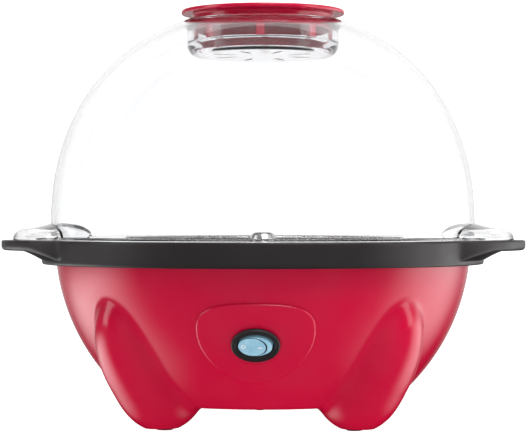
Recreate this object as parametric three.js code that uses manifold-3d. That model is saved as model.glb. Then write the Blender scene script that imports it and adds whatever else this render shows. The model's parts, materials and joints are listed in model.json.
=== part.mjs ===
// Stirring popcorn maker: a moulded bowl-shaped base on four feet, a black rim with two handles, a flat
// nonstick heating plate with a motor-driven stirring rod, and a clear dome that lifts off and serves as
// the bowl, closed by a vented cap. Millimetres, +Z up. The origin is on the table, under the middle of
// the base. The handles lie along X and the switch faces -Y.

import * as THREE from 'three';
import { mergeVertices } from 'three/addons/utils/BufferGeometryUtils.js';
import Module from 'manifold-3d';

const wasm = await Module();
wasm.setup();

// ---------------------------------------------------------------- driving dimensions

// Clearances
const GAP = 0.3;              // between pieces that touch
const RUNNING_GAP = 0.3;      // around a turning shaft
const LOOSE = 0.6;            // around a part that lifts off

// Base
const BOWL_RADIUS = 118.5;    // outside of the housing at its widest
const RIM_TOP = 103.5;        // height of the rim's top face
const UNDERSIDE_Z = 13;       // height of the flat underside
const UNDERSIDE_RADIUS = 75.7;
const HOUSING_WALL = 2.5;
const UNDERSIDE_ROUND = 2.5;  // softness of the underside's edge

// Feet: an egg-shaped lobe that leans out along the bowl, ending below in a ball
const FOOT_RADIUS = 73.5;     // of the circle that the four feet stand on
const FOOT_BALL = 22;
const FOOT_SOLE_Z = 1.2;      // where the ball is cut flat
const LOBE_OUT = 18;          // lobe's middle beyond the foot circle
const LOBE_Z = 39;
const LOBE_LENGTH = 79;
const LOBE_WIDTH = 42;
const LOBE_LEAN = 28;         // degrees from upright
const LOBE_BLEND = 10;
const FOOT_BLEND = 4;
const FOOT_PAD_RADIUS = 4.6;
const FOOT_PAD_HEIGHT = 3;

// Rim ring and handles
const RIM_WIDTH = 7.5;        // rim's outside beyond the bowl
const RIM_HEIGHT = 13.5;
const RIM_WALL = 2.5;
const LIP_DEPTH = 2;          // depth of the rebate that the dome drops into
const PLATE_LEDGE_WIDTH = 11.5;
const HANDLE_REACH = 24;      // handle's tip beyond the rim
const HANDLE_CURVE = 71;      // radius of the handle's end in plan
const HANDLE_THICKNESS = 5.7;
const HANDLE_FLAT = 12;       // flat stretch of its underside, from the tip
const HANDLE_HOLLOW = 11.5;   // run of the sloping stretch from there to the ring
const HANDLE_DROP = 5.3;      // fall of that stretch
const EAR_FILLET = 10;
const RIM_POST_INSET = 10.8;  // screw posts' circle inside the bowl's widest circle
const RIM_POST_RADIUS = 3.6;

// Dome
const DOME_WALL = 2.5;
const DOME_HEIGHT = 123.7;    // from its widest circle to where its curve would close
const DOME_POWER = 2.2;       // the curve is r^p + z^p = 1, so 2 is a quarter ellipse
const DOME_STRAIGHT = 8;      // upright stretch above the rim
const DOME_EAR_REACH = 22.4;  // ear's tip beyond the dome's wall
const DOME_EAR_CURVE = 66;
const DOME_EAR_HEIGHT = 8;
const DOME_EAR_HALF_WIDTH = 56; // where its arched top has come down to the ring
const DOME_BEAD = 2.4;
const WELL_RADIUS = 41;       // butter well, inside
const WELL_DEPTH = 17.3;
const WELL_STEP = 2.5;
const WELL_STEP_HEIGHT = 4.7;
const WELL_SLOTS = 8;
const SLOT_LENGTH = 14;
const SLOT_WIDTH = 2.6;
const SLOT_INSET = 18;        // slots' middle inside the well's wall

// Cap
const CAP_PLAY = 0.9;         // between the cap's skirt and the well
const CAP_WALL = 2.2;
const CAP_OVERHANG = 6.6;
const CAP_STEAM_GAP = 3.4;    // between the cap's flange and the dome's crown
const CAP_FLANGE = 2.4;
const CAP_SKIRT = 8.9;
const CAP_LEGS = 8;
const CAP_LEG_WIDTH = 4.4;

// Heating plate and what hangs below it
const PLATE_THICKNESS = 2.5;
const GASKET_THICKNESS = 0.5;
const PLATE_FLANGE = 1.5;
const POST_CIRCLE = 60;
const POST_RADIUS = 4;
const ELEMENT_CIRCLE = 72;
const ELEMENT_RADIUS = 3.3;
const SHIELD_SHEET = 0.9;
const SHIELD_DROP = 10.8;     // plate's underside to the shield's floor

// Drive
const SHAFT_RADIUS = 3.5;
const SHAFT_RISE = 5.6;       // shaft above the plate
const BUSH_WALL = 1.9;
const GEAR_MODULE = 1.25;
const GEAR_TEETH = 32;
const PINION_TEETH = 10;
const GEAR_WIDTH = 5;
const GEARBOX_HEIGHT = 13;
const GEARBOX_WALL = 2;
const MOTOR_RADIUS = 25;
const MOTOR_HEIGHT = 18.4;
const ROTOR_SHAFT_RADIUS = 1.5;
const ROTOR_RADIUS = 14;

// Stirring rod and hub
const ROD_RADIUS = 1.5;
const ROD_REACH = 80;
const ROD_DROOP = 0.7;
const HUB_RADIUS = 8;
const HUB_TOP_RADIUS = 6.1;
const HUB_HEIGHT = 5.4;

// Switch
const SWITCH_Z = 50.7;
const SEAT_DEPTH = 0.75;      // flat seat cut into the raised pad
const SWITCH_LENGTH = 25.7;   // bezel, across
const SWITCH_WIDTH = 19.6;
const ROCKER_LENGTH = 18;
const ROCKER_WIDTH = 11.4;
const ROCKER_THICKNESS = 6;
const ROCKER_TILT = 7.5;      // degrees each way
const PAD_HALF_WIDTH = 31.3;
const PAD_UP = 14.9;
const PAD_DOWN = 28.4;
const PAD_Z = 57.2;
const PAD_HEIGHT = 1.6;

// Underside cover and mains inlet
const COVER_OPENING = 43.5;
const COVER_LEDGE = 6.5;
const COVER_THICKNESS = 2.2;
const GLAND_Z = 34;
const GLAND_BORE = 3.7;
const GLAND_WALL = 4;
const GLAND_FLANGE = 2.3;

// Screws
const SCREW_RADIUS = 1.6;
const SCREW_HEAD_RADIUS = 3.4;
const SCREW_HEAD_HEIGHT = 2.3;
const RIM_TAB_Z = 20.5;       // tab's top below the rim's top
const TAB_THICKNESS = 3;

// Wiring
const LEAD_RADIUS = 1.1;
const LEAD_HOLE = [-30, -46];  // through the heat shield
const LEAD_HOLE_RADIUS = 4;
const TERMINAL_PLACE = [-44, 32];
const TERMINAL_HEIGHT = 11;

// ---------------------------------------------------------------- levels and radii worked out from them

const RIM_RADIUS = BOWL_RADIUS + RIM_WIDTH;
const RIM_BOTTOM = RIM_TOP - RIM_HEIGHT;
const REBATE_Z = RIM_TOP - LIP_DEPTH;
const DOME_RADIUS = RIM_RADIUS - 5;
const REBATE_RADIUS = DOME_RADIUS + LOOSE;
const PLATE_SEAT_RADIUS = DOME_RADIUS - 6.5;
const LEDGE_RADIUS = PLATE_SEAT_RADIUS - PLATE_LEDGE_WIDTH;
const LEDGE_TOP = REBATE_Z - 2.3;
const LEDGE_BOTTOM = LEDGE_TOP - RIM_WALL;
const HOUSING_TOP = REBATE_Z - RIM_WALL - GAP;
const RIM_POST_CIRCLE = BOWL_RADIUS - RIM_POST_INSET;
const TAB_TOP = RIM_TOP - RIM_TAB_Z;

const BOWL_CENTRE_Z = RIM_TOP + 0.5;
const BOWL_HEIGHT = (BOWL_CENTRE_Z - UNDERSIDE_Z) / Math.sqrt(1 - (UNDERSIDE_RADIUS / BOWL_RADIUS) ** 2);
const COVER_SEAT_RADIUS = COVER_OPENING + COVER_LEDGE;
const COVER_SEAT_Z = UNDERSIDE_Z + COVER_THICKNESS + GAP;

const GASKET_Z = LEDGE_TOP + GAP;
const FLANGE_Z = GASKET_Z + GASKET_THICKNESS + GAP;
const PLATE_TOP = FLANGE_Z + 0.4;
const PLATE_BOTTOM = PLATE_TOP - PLATE_THICKNESS;
const PLATE_RADIUS = PLATE_SEAT_RADIUS - 1.5;
const PLATE_DISH_RADIUS = LEDGE_RADIUS - 1;
const SHIELD_TOP = PLATE_BOTTOM - SHIELD_DROP;
const SHIELD_BOTTOM = SHIELD_TOP - SHIELD_SHEET;
const SHIELD_FLANGE_Z = LEDGE_BOTTOM - GAP - SHIELD_SHEET;
const BRACKET_SHEET = 1.5;
const BRACKET_BOTTOM = SHIELD_BOTTOM - GAP - BRACKET_SHEET;
const LID_BOTTOM = BRACKET_BOTTOM - GAP - 1.4;
const GEARBOX_TOP = LID_BOTTOM - GAP;
const GEARBOX_BOTTOM = GEARBOX_TOP - GEARBOX_HEIGHT;
const GEAR_Z = GEARBOX_BOTTOM + GEARBOX_WALL + 2;
const MOTOR_TOP = GEARBOX_BOTTOM - GAP;
const MOTOR_BOTTOM = MOTOR_TOP - MOTOR_HEIGHT;
const MOTOR_Y = GEAR_MODULE * (GEAR_TEETH + PINION_TEETH) / 2;
const GEARBOX_RADIUS = GEAR_MODULE * (GEAR_TEETH / 2 + 0.75) + 1.8 + GEARBOX_WALL;
const LUG_X = GEARBOX_RADIUS + SCREW_HEAD_RADIUS + GAP;
const LUG_Y = 6;
const LUG_RADIUS = SCREW_HEAD_RADIUS + 2;
const BUSH_RADIUS = SHAFT_RADIUS + RUNNING_GAP + BUSH_WALL;
const BUSH_TOP = PLATE_TOP + GAP + 1.4;
const HUB_BOTTOM = BUSH_TOP + GAP;
const SHAFT_TOP = PLATE_TOP + SHAFT_RISE;
const ROD_Z = HUB_BOTTOM + ROD_RADIUS + 0.4;

const DOME_EDGE_Z = RIM_TOP + GAP;
const DOME_BASE_Z = RIM_TOP + DOME_STRAIGHT;
const CROWN_RADIUS = WELL_RADIUS + 5;
const CROWN_SHARE = (CROWN_RADIUS / DOME_RADIUS) ** DOME_POWER;
const CROWN_Z = DOME_BASE_Z + DOME_HEIGHT * (1 - CROWN_SHARE) ** (1 / DOME_POWER);
const CROWN_TOP = CROWN_Z + 0.8;
const WELL_FLOOR = CROWN_TOP - WELL_DEPTH;
const WELL_LEDGE = WELL_FLOOR + WELL_STEP_HEIGHT;
const CAP_SKIRT_RADIUS = WELL_RADIUS - CAP_PLAY;
const CAP_FLANGE_Z = CROWN_TOP + CAP_STEAM_GAP;

const QUARTER_TURNS = [0, 1, 2, 3];
const SCREW_HOLE = SCREW_RADIUS + GAP;
const BASE_COLUMNS = 44;
const BIG_ROUND = 44;         // segments of the large circles
const MID_ROUND = 32;
const SMALL_ROUND = 12;
const HOLE_ROUND = 8;

const rad = THREE.MathUtils.degToRad;

// ---------------------------------------------------------------- materials

function finish(color, roughness, metalness = 0) {
  return new THREE.MeshStandardMaterial({ color, roughness, metalness });
}
const RED = finish(0xbe1f3d, 0.28);
const BLACK = finish(0x2c2627, 0.42);
const SOFT_BLACK = finish(0x1b1a1a, 0.8);
const CLEAR = new THREE.MeshStandardMaterial({
  color: 0xf2f4f5, roughness: 0.05, metalness: 0, transparent: true, opacity: 0.3,
});
const NONSTICK = finish(0x2e2d2f, 0.4, 0.3);
const STEEL = finish(0xa9abad, 0.3, 1);
const GALVANISED = finish(0x8d9092, 0.45, 1);
const ALUMINIUM = finish(0x9a9c9e, 0.4, 1);
const NYLON = finish(0xe6e1d4, 0.5);
const COPPER = finish(0xa85a32, 0.35, 1);
const BLUE = finish(0x8fbfd6, 0.2);
const CERAMIC = finish(0xded8cc, 0.7);
const SILICONE = finish(0x9c4038, 0.7);
const WIRE = finish(0xc9c5bb, 0.6);

// ---------------------------------------------------------------- solids

// A closed solid from any closed geometry: shared vertices merged, faces turned outwards.
function solid(geometry) {
  const bare = geometry.clone();
  for (const name of Object.keys(bare.attributes)) if (name !== 'position') bare.deleteAttribute(name);
  const merged = mergeVertices(bare, 1e-4);
  const p = merged.attributes.position.array;
  const index = [];
  let volume = 0;
  for (let i = 0; i < merged.index.count; i += 3) {
    const [a, b, c] = [0, 1, 2].map((k) => merged.index.getX(i + k));
    if (a === b || b === c || c === a) continue;
    index.push(a, b, c);
    const [A, B, C] = [a, b, c].map((k) => new THREE.Vector3().fromArray(p, 3 * k));
    volume += A.dot(B.cross(C));
  }
  if (volume < 0) index.reverse();
  return new wasm.Manifold(new wasm.Mesh({
    numProp: 3, vertProperties: new Float32Array(p), triVerts: new Uint32Array(index),
  }));
}

function geometryOf(body) {
  const mesh = body.getMesh();
  const geometry = new THREE.BufferGeometry();
  geometry.setAttribute('position', new THREE.BufferAttribute(new Float32Array(mesh.vertProperties), 3));
  geometry.setIndex(new THREE.BufferAttribute(new Uint32Array(mesh.triVerts), 1));
  geometry.computeVertexNormals();
  return geometry;
}

const join = (...bodies) => bodies.reduce((sum, body) => sum.add(body));
const cut = (body, ...tools) => tools.reduce((rest, tool) => rest.subtract(tool), body);

// Closed outline of (radius, height) points turned about Z.
function turned(points, segments = MID_ROUND) {
  const closed = [...points, points[0]].map(([r, z]) => new THREE.Vector2(r, z));
  return solid(new THREE.LatheGeometry(closed, segments).rotateX(Math.PI / 2));
}

function cylinder(radius, z0, z1, x = 0, y = 0, segments = SMALL_ROUND) {
  const geometry = new THREE.CylinderGeometry(radius, radius, z1 - z0, segments);
  return solid(geometry.rotateX(Math.PI / 2).translate(x, y, (z0 + z1) / 2));
}

function hole(z0, z1, x, y) {
  return cylinder(SCREW_HOLE, z0, z1, x, y, HOLE_ROUND);
}

function tube(outer, inner, z0, z1, segments = MID_ROUND) {
  return turned([[inner, z0], [outer, z0], [outer, z1], [inner, z1]], segments);
}

function block(width, depth, z0, z1, x = 0, y = 0, turn = 0) {
  const geometry = new THREE.BoxGeometry(width, depth, z1 - z0).translate(x, y, (z0 + z1) / 2);
  return solid(geometry.rotateZ(turn));
}

function prism(shape, z0, z1, curveSegments = 12, bevel = 0) {
  const geometry = new THREE.ExtrudeGeometry(shape, {
    depth: z1 - z0 - 2 * bevel, curveSegments, steps: 1,
    bevelEnabled: bevel > 0, bevelThickness: bevel, bevelSize: bevel, bevelOffset: -bevel, bevelSegments: 2,
  });
  return solid(geometry.translate(0, 0, z0 + bevel));
}

function ellipse(halfX, halfY) {
  return new THREE.Shape().absellipse(0, 0, halfX, halfY, 0, 2 * Math.PI, false, 0);
}

// Round wire or tube along a smooth curve.
function wire(points, radius, steps, sides = 8) {
  const curve = new THREE.CatmullRomCurve3(points.map((p) => new THREE.Vector3(...p)));
  const section = new THREE.Shape();
  for (let i = 0; i < sides; i++) {
    const a = 2 * Math.PI * i / sides;
    const point = [radius * Math.cos(a), radius * Math.sin(a)];
    if (i) section.lineTo(...point); else section.moveTo(...point);
  }
  return new THREE.ExtrudeGeometry(section, { extrudePath: curve, steps, bevelEnabled: false });
}

function placed(body, matrix) {
  return solid(geometryOf(body).applyMatrix4(matrix));
}

function polar(radius, angle) {
  return [radius * Math.cos(angle), radius * Math.sin(angle)];
}

// ---------------------------------------------------------------- the assembly

const popcornMaker = new THREE.Group();

function add(name, shape, material, parent = popcornMaker) {
  const mesh = new THREE.Mesh(shape.isBufferGeometry ? shape : geometryOf(shape), material);
  mesh.name = name;
  parent.add(mesh);
  return mesh;
}

// Pan-head screw standing on its head at z = 0, pointing up.
function screw(length) {
  return turned([
    [0, 0], [SCREW_HEAD_RADIUS - 0.5, 0], [SCREW_HEAD_RADIUS, 0.8], [SCREW_HEAD_RADIUS, SCREW_HEAD_HEIGHT],
    [SCREW_RADIUS, SCREW_HEAD_HEIGHT], [SCREW_RADIUS, SCREW_HEAD_HEIGHT + length - 1.5],
    [0, SCREW_HEAD_HEIGHT + length],
  ], HOLE_ROUND);
}

// ---------------------------------------------------------------- base housing

const smoothMin = (a, b, k) => {
  const h = THREE.MathUtils.clamp(0.5 + 0.5 * (b - a) / k, 0, 1);
  return b + (a - b) * h - k * h * (1 - h);
};

// Distance to a spheroid: half-axes (a, b, c) at an offset (x, y, z) from its middle.
function spheroidDistance([x, y, z], [a, b, c]) {
  const k0 = Math.hypot(x / a, y / b, z / c);
  const k1 = Math.hypot(x / a ** 2, y / b ** 2, z / c ** 2);
  return k0 * (k0 - 1) / Math.max(k1, 1e-9);
}

// Signed distance to the outside of the base: a spheroid bowl cut flat below, with a rounded edge,
// blended with four leaning lobes that end in balls.
function baseDistance([x, y, z]) {
  const bowl = spheroidDistance([x, y, z - BOWL_CENTRE_Z], [BOWL_RADIUS, BOWL_RADIUS, BOWL_HEIGHT]);
  let body = -smoothMin(-bowl, -(UNDERSIDE_Z - z), UNDERSIDE_ROUND);
  for (const k of QUARTER_TURNS) {
    const [c, s] = polar(1, Math.PI / 4 + k * Math.PI / 2);
    const out = x * c + y * s;
    const side = y * c - x * s;
    const ball = Math.hypot(out - FOOT_RADIUS, side, z - FOOT_BALL - 0.4) - FOOT_BALL;
    const [lean, up] = [out - FOOT_RADIUS - LOBE_OUT, z - LOBE_Z];
    const [ca, sa] = polar(1, rad(LOBE_LEAN));
    const lobe = spheroidDistance([lean * sa + up * ca, side, lean * ca - up * sa],
      [LOBE_LENGTH / 2, LOBE_WIDTH / 2, LOBE_WIDTH / 2]);
    body = smoothMin(body, smoothMin(ball, lobe, LOBE_BLEND), FOOT_BLEND);
  }
  return Math.max(body, FOOT_SOLE_Z - z);
}

// Closed solid bounded by the surface at the given distance from baseDistance, found along rays from the
// bowl's centre, up to the level of that centre. Columns are closer together at the feet.
function baseSolid(offset, columns, rows) {
  const centre = new THREE.Vector3(0, 0, BOWL_CENTRE_Z);
  const start = rad(26);
  const vertices = [[0, 0, UNDERSIDE_Z - offset], centre.toArray()];
  for (let i = 0; i < rows; i++) {
    const polarAngle = start + (Math.PI / 2 - start) * i / (rows - 1);
    for (let j = 0; j < columns; j++) {
      const u = 2 * Math.PI * j / columns;
      const azimuth = u + 0.3 * Math.sin(4 * u) / 4;
      const ray = new THREE.Vector3(...polar(Math.sin(polarAngle), azimuth), -Math.cos(polarAngle));
      let reach = 1.4 * BOWL_RADIUS;
      for (let step = 0; step < 60; step++) {
        reach -= 0.9 * (baseDistance(centre.clone().addScaledVector(ray, reach).toArray()) - offset);
      }
      vertices.push(centre.clone().addScaledVector(ray, reach).toArray());
    }
  }
  const at = (i, j) => 2 + i * columns + (j % columns);
  const index = [];
  for (let j = 0; j < columns; j++) {
    index.push(0, at(0, j + 1), at(0, j));
    index.push(1, at(rows - 1, j), at(rows - 1, j + 1));
    for (let i = 0; i < rows - 1; i++) {
      index.push(at(i, j), at(i, j + 1), at(i + 1, j), at(i, j + 1), at(i + 1, j + 1), at(i + 1, j));
    }
  }
  const geometry = new THREE.BufferGeometry();
  geometry.setAttribute('position', new THREE.Float32BufferAttribute(vertices.flat(), 3));
  geometry.setIndex(index);
  return solid(geometry);
}

function bowlRadiusAt(z) {
  return BOWL_RADIUS * Math.sqrt(1 - ((BOWL_CENTRE_Z - z) / BOWL_HEIGHT) ** 2);
}

// Place on the bowl's outside at a height and azimuth, raised along the normal: local Z points out of
// the wall, local X runs level around it.
function wallPlace(z, azimuth, raise) {
  const r = bowlRadiusAt(z);
  const down = Math.atan2((BOWL_CENTRE_Z - z) / BOWL_HEIGHT ** 2, r / BOWL_RADIUS ** 2);
  const matrix = new THREE.Matrix4().makeRotationZ(azimuth + Math.PI / 2);
  matrix.multiply(new THREE.Matrix4().makeTranslation(0, -r, z));
  matrix.multiply(new THREE.Matrix4().makeRotationX(Math.PI / 2 + down));
  return matrix.multiply(new THREE.Matrix4().makeTranslation(0, 0, raise));
}

const SWITCH_PLACE = wallPlace(SWITCH_Z, -Math.PI / 2, PAD_HEIGHT - SEAT_DEPTH);
const GLAND_PLACE = wallPlace(GLAND_Z, Math.PI / 2, -0.9);

// Raised pad around the switch: a rounded shield outline, seen from the front, lifted off the bowl.
function switchPad() {
  const outline = new THREE.Shape();
  const steps = 36;
  for (let i = 0; i < steps; i++) {
    const a = 2 * Math.PI * i / steps;
    const [c, s] = polar(1, a);
    const power = s > 0 ? 3 : 1.8;
    const scale = (Math.abs(c) ** power + Math.abs(s) ** power) ** (-1 / power);
    const point = [PAD_HALF_WIDTH * c * scale, (s > 0 ? PAD_UP : PAD_DOWN) * s * scale];
    if (i) outline.lineTo(...point); else outline.moveTo(...point);
  }
  const slab = geometryOf(prism(outline, BOWL_RADIUS / 2, 1.2 * BOWL_RADIUS));
  slab.rotateX(Math.PI / 2).translate(0, 0, PAD_Z);
  const skin = [];
  for (let i = 0; i <= 8; i++) {
    const z = PAD_Z - PAD_DOWN - 6 + (PAD_UP + PAD_DOWN + 12) * i / 8;
    skin.push([bowlRadiusAt(z) + PAD_HEIGHT, z]);
  }
  const top = skin.at(-1)[1];
  return solid(slab).intersect(turned([[0, skin[0][1]], ...skin, [0, top]], 60));
}

function coverScrewPlaces() {
  return QUARTER_TURNS.map((k) => polar(COVER_OPENING + COVER_LEDGE / 2, k * Math.PI / 2));
}

function rimPostPlaces() {
  return QUARTER_TURNS.map((k) => polar(RIM_POST_CIRCLE, rad(22.5) + k * Math.PI / 2));
}
function footPlaces() {
  return QUARTER_TURNS.map((k) => polar(FOOT_RADIUS, Math.PI / 4 + k * Math.PI / 2));
}

function housing() {
  const outside = baseSolid(0, BASE_COLUMNS, 17);
  const inside = baseSolid(-HOUSING_WALL, BASE_COLUMNS, 11);
  const ledge = tube(COVER_SEAT_RADIUS + HOUSING_WALL, COVER_OPENING, UNDERSIDE_Z + 0.1, COVER_SEAT_Z + 2.5);
  const extras = [ledge];
  for (const [x, y] of coverScrewPlaces()) {
    extras.push(cylinder(SCREW_RADIUS + 2, COVER_SEAT_Z + 1, COVER_SEAT_Z + 10, x, y));
  }
  for (const [x, y] of footPlaces()) {
    extras.push(cylinder(FOOT_PAD_RADIUS + 3.4, FOOT_SOLE_Z + 0.5, FOOT_PAD_HEIGHT + 3, x, y));
  }
  rimPostPlaces().forEach(([x, y], k) => {
    extras.push(cylinder(5.5, TAB_TOP - TAB_THICKNESS, TAB_TOP, x, y));
    const turn = rad(22.5) + k * Math.PI / 2;
    extras.push(block(14, 11, TAB_TOP - TAB_THICKNESS, TAB_TOP, RIM_POST_CIRCLE + 7, 0, turn));
  });
  extras.push(placed(cylinder(GLAND_BORE + GLAND_WALL + 4, -4, -0.5), GLAND_PLACE));
  let body = join(outside.subtract(inside), join(...extras).intersect(outside), switchPad().subtract(inside));

  const seat = prism(ellipse(SWITCH_LENGTH / 2 + 0.8, SWITCH_WIDTH / 2 + 2.4), 0, 6);
  const window = prism(ellipse(SWITCH_LENGTH / 2 - 1.6, SWITCH_WIDTH / 2 - 1.6), -12, 4);
  body = cut(body,
    cylinder(2 * BOWL_RADIUS, HOUSING_TOP, BOWL_CENTRE_Z + 5, 0, 0, 8),
    cylinder(COVER_OPENING, UNDERSIDE_Z - 1, COVER_SEAT_Z + 5, 0, 0, MID_ROUND),
    cylinder(COVER_SEAT_RADIUS, UNDERSIDE_Z - 1, COVER_SEAT_Z, 0, 0, MID_ROUND),
    placed(seat, SWITCH_PLACE), placed(window, SWITCH_PLACE),
    placed(cylinder(14.5, 0, 6, 0, 0, 24), GLAND_PLACE),
    placed(cylinder(GLAND_BORE + GLAND_WALL + GAP, -12, 4, 0, 0, 24), GLAND_PLACE));
  for (const [x, y] of coverScrewPlaces()) {
    body = cut(body, hole(UNDERSIDE_Z, COVER_SEAT_Z + 8.5, x, y));
  }
  for (const [x, y] of footPlaces()) {
    body = cut(body, cylinder(FOOT_PAD_RADIUS + GAP, -1, FOOT_PAD_HEIGHT + GAP, x, y));
  }
  for (const [x, y] of rimPostPlaces()) {
    body = cut(body, hole(TAB_TOP - 10, TAB_TOP + 1, x, y));
  }
  return body;
}
add('base_housing', housing(), RED);

// ---------------------------------------------------------------- underside

function bottomCover() {
  let cover = cylinder(COVER_SEAT_RADIUS - GAP, UNDERSIDE_Z, UNDERSIDE_Z + COVER_THICKNESS, 0, 0, MID_ROUND);
  for (let i = -3; i <= 3; i++) {
    cover = cut(cover, block(44, 3.4, UNDERSIDE_Z - 1, UNDERSIDE_Z + COVER_THICKNESS + 1, 0, 8 * i));
  }
  for (const [x, y] of coverScrewPlaces()) {
    cover = cut(cover, hole(UNDERSIDE_Z - 1, UNDERSIDE_Z + COVER_THICKNESS + 1, x, y));
  }
  return cover;
}
add('bottom_cover', bottomCover(), BLACK);
coverScrewPlaces().forEach(([x, y], k) => {
  const part = add(`cover_screw_${k + 1}`, screw(9), GALVANISED);
  part.position.set(x, y, UNDERSIDE_Z - GAP - SCREW_HEAD_HEIGHT);
});
footPlaces().forEach(([x, y], k) => {
  const profile = [[0, 0], [FOOT_PAD_RADIUS - 0.5, 0], [FOOT_PAD_RADIUS, 0.5],
    [FOOT_PAD_RADIUS, FOOT_PAD_HEIGHT], [0, FOOT_PAD_HEIGHT]];
  add(`foot_pad_${k + 1}`, turned(profile, SMALL_ROUND), SOFT_BLACK).position.set(x, y, 0);
});

// ---------------------------------------------------------------- rim ring and handles

// Plan outline of an ear on a round wall: a large arc at the tip, run into the wall by fillets.
function earOutline(wallRadius, reach, curve, side, inset = 0) {
  const centre = wallRadius + reach - curve;
  const fillet = EAR_FILLET + inset;
  const [a, b] = [wallRadius + fillet, curve + fillet - inset];
  const x = (a * a - b * b + centre * centre) / (2 * centre);
  const y = Math.sqrt(a * a - x * x);
  const atWall = Math.atan2(y, x);
  const atTip = Math.atan2(y, x - centre);
  const points = [];
  const arc = (cx, cy, r, from, to, steps) => {
    for (let i = 0; i <= steps; i++) {
      const [px, py] = polar(r, from + (to - from) * i / steps);
      points.push([side * (cx + px), cy + py]);
    }
  };
  const tip = curve - inset;
  arc(x, -y, fillet, Math.PI - atWall, Math.PI - atTip, 4);
  arc(centre, 0, tip, -atTip + 0.05, atTip - 0.05, 13);
  arc(x, y, fillet, atTip - Math.PI, atWall - Math.PI, 4);
  for (const end of [1, -1]) {   // well inside the wall
    const [px, py] = polar(wallRadius - 16, end * atWall);
    points.push([side * px, py]);
  }
  const shape = new THREE.Shape();
  points.forEach((p, i) => (i ? shape.lineTo(...p) : shape.moveTo(...p)));
  return shape;
}

function rimRing() {
  const skirt = REBATE_RADIUS - 2.4;
  const ring = turned([
    [RIM_RADIUS, RIM_BOTTOM + 0.8], [RIM_RADIUS, RIM_TOP - 0.6], [RIM_RADIUS - 0.6, RIM_TOP],
    [REBATE_RADIUS, RIM_TOP], [REBATE_RADIUS, REBATE_Z], [PLATE_SEAT_RADIUS, REBATE_Z],
    [PLATE_SEAT_RADIUS, LEDGE_TOP], [LEDGE_RADIUS, LEDGE_TOP], [LEDGE_RADIUS, LEDGE_BOTTOM],
    [PLATE_SEAT_RADIUS - RIM_WALL, LEDGE_BOTTOM], [PLATE_SEAT_RADIUS - RIM_WALL + 0.01, REBATE_Z - RIM_WALL],
    [skirt, REBATE_Z - RIM_WALL], [skirt, RIM_BOTTOM + 1],
    [skirt + 1.8, RIM_BOTTOM + 1], [skirt + 1.8, REBATE_Z - 2], [RIM_RADIUS - 2.6, REBATE_Z - 2],
    [RIM_RADIUS - 2.6, RIM_BOTTOM], [RIM_RADIUS - 0.8, RIM_BOTTOM],
  ], BIG_ROUND);
  const root = RIM_RADIUS - 1.5;
  const tip = RIM_RADIUS + HANDLE_REACH;
  const under = RIM_TOP - HANDLE_THICKNESS;
  const bend = tip - HANDLE_FLAT;
  const profile = [[root, RIM_TOP - 0.05], [tip + 2, RIM_TOP - 0.05], [tip + 2, under], [bend, under]];
  for (const share of [0.15, 0.35, 0.65, 1]) {
    profile.push([bend - HANDLE_HOLLOW * share, under - HANDLE_DROP * share ** 1.25]);
  }
  profile.push([root, under - HANDLE_DROP]);
  const web = turned(profile, BIG_ROUND);
  const handles = [1, -1].map((side) => prism(
    earOutline(RIM_RADIUS, HANDLE_REACH, HANDLE_CURVE, side), RIM_TOP - 30, RIM_TOP, 12).intersect(web));
  const posts = rimPostPlaces().map(([x, y]) => cut(
    cylinder(RIM_POST_RADIUS, TAB_TOP + GAP, LEDGE_BOTTOM + 1, x, y),
    hole(TAB_TOP - 1, LEDGE_BOTTOM - 3, x, y)));
  return join(ring, ...handles, ...posts);
}
add('rim_ring', rimRing(), BLACK);
rimPostPlaces().forEach(([x, y], k) => {
  const part = add(`rim_screw_${k + 1}`, screw(11), GALVANISED);
  part.position.set(x, y, TAB_TOP - TAB_THICKNESS - GAP - SCREW_HEAD_HEIGHT);
});

// ---------------------------------------------------------------- heating plate stack

add('plate_gasket', tube(PLATE_RADIUS, LEDGE_RADIUS + 1, GASKET_Z, GASKET_Z + GASKET_THICKNESS), SILICONE);

const POST_ANGLES = [90, 210, 330].map(rad);

function heatingPlate() {
  const bore = BUSH_RADIUS + GAP;
  let plate = turned([
    [bore, PLATE_BOTTOM], [PLATE_DISH_RADIUS, PLATE_BOTTOM], [PLATE_DISH_RADIUS, FLANGE_Z],
    [PLATE_RADIUS, FLANGE_Z], [PLATE_RADIUS, FLANGE_Z + PLATE_FLANGE],
    [PLATE_DISH_RADIUS + 3, FLANGE_Z + PLATE_FLANGE],
    [PLATE_DISH_RADIUS - 1, PLATE_TOP], [bore, PLATE_TOP],
  ], MID_ROUND);
  for (const angle of POST_ANGLES) {
    const [x, y] = polar(POST_CIRCLE, angle);
    plate = join(plate, cut(cylinder(POST_RADIUS, SHIELD_TOP + GAP, PLATE_BOTTOM + 0.5, x, y),
      hole(SHIELD_TOP - 1, PLATE_BOTTOM - 2, x, y)));
  }
  return plate;
}
add('heating_plate', heatingPlate(), NONSTICK);

// Sheathed heater: most of a circle under the plate, its two ends turned inwards.
function heatingElement() {
  const z = PLATE_BOTTOM - GAP - ELEMENT_RADIUS;
  const points = [];
  for (let i = 0; i <= 30; i++) points.push([...polar(ELEMENT_CIRCLE, rad(-60 + 300 * i / 30)), z]);
  points.unshift([...polar(ELEMENT_CIRCLE - 16, rad(-70)), z], [...polar(ELEMENT_CIRCLE - 5, rad(-69)), z]);
  points.push([...polar(ELEMENT_CIRCLE - 5, rad(249)), z], [...polar(ELEMENT_CIRCLE - 16, rad(250)), z]);
  return wire(points, ELEMENT_RADIUS, 38);
}
add('heating_element', heatingElement(), STEEL);

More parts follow.
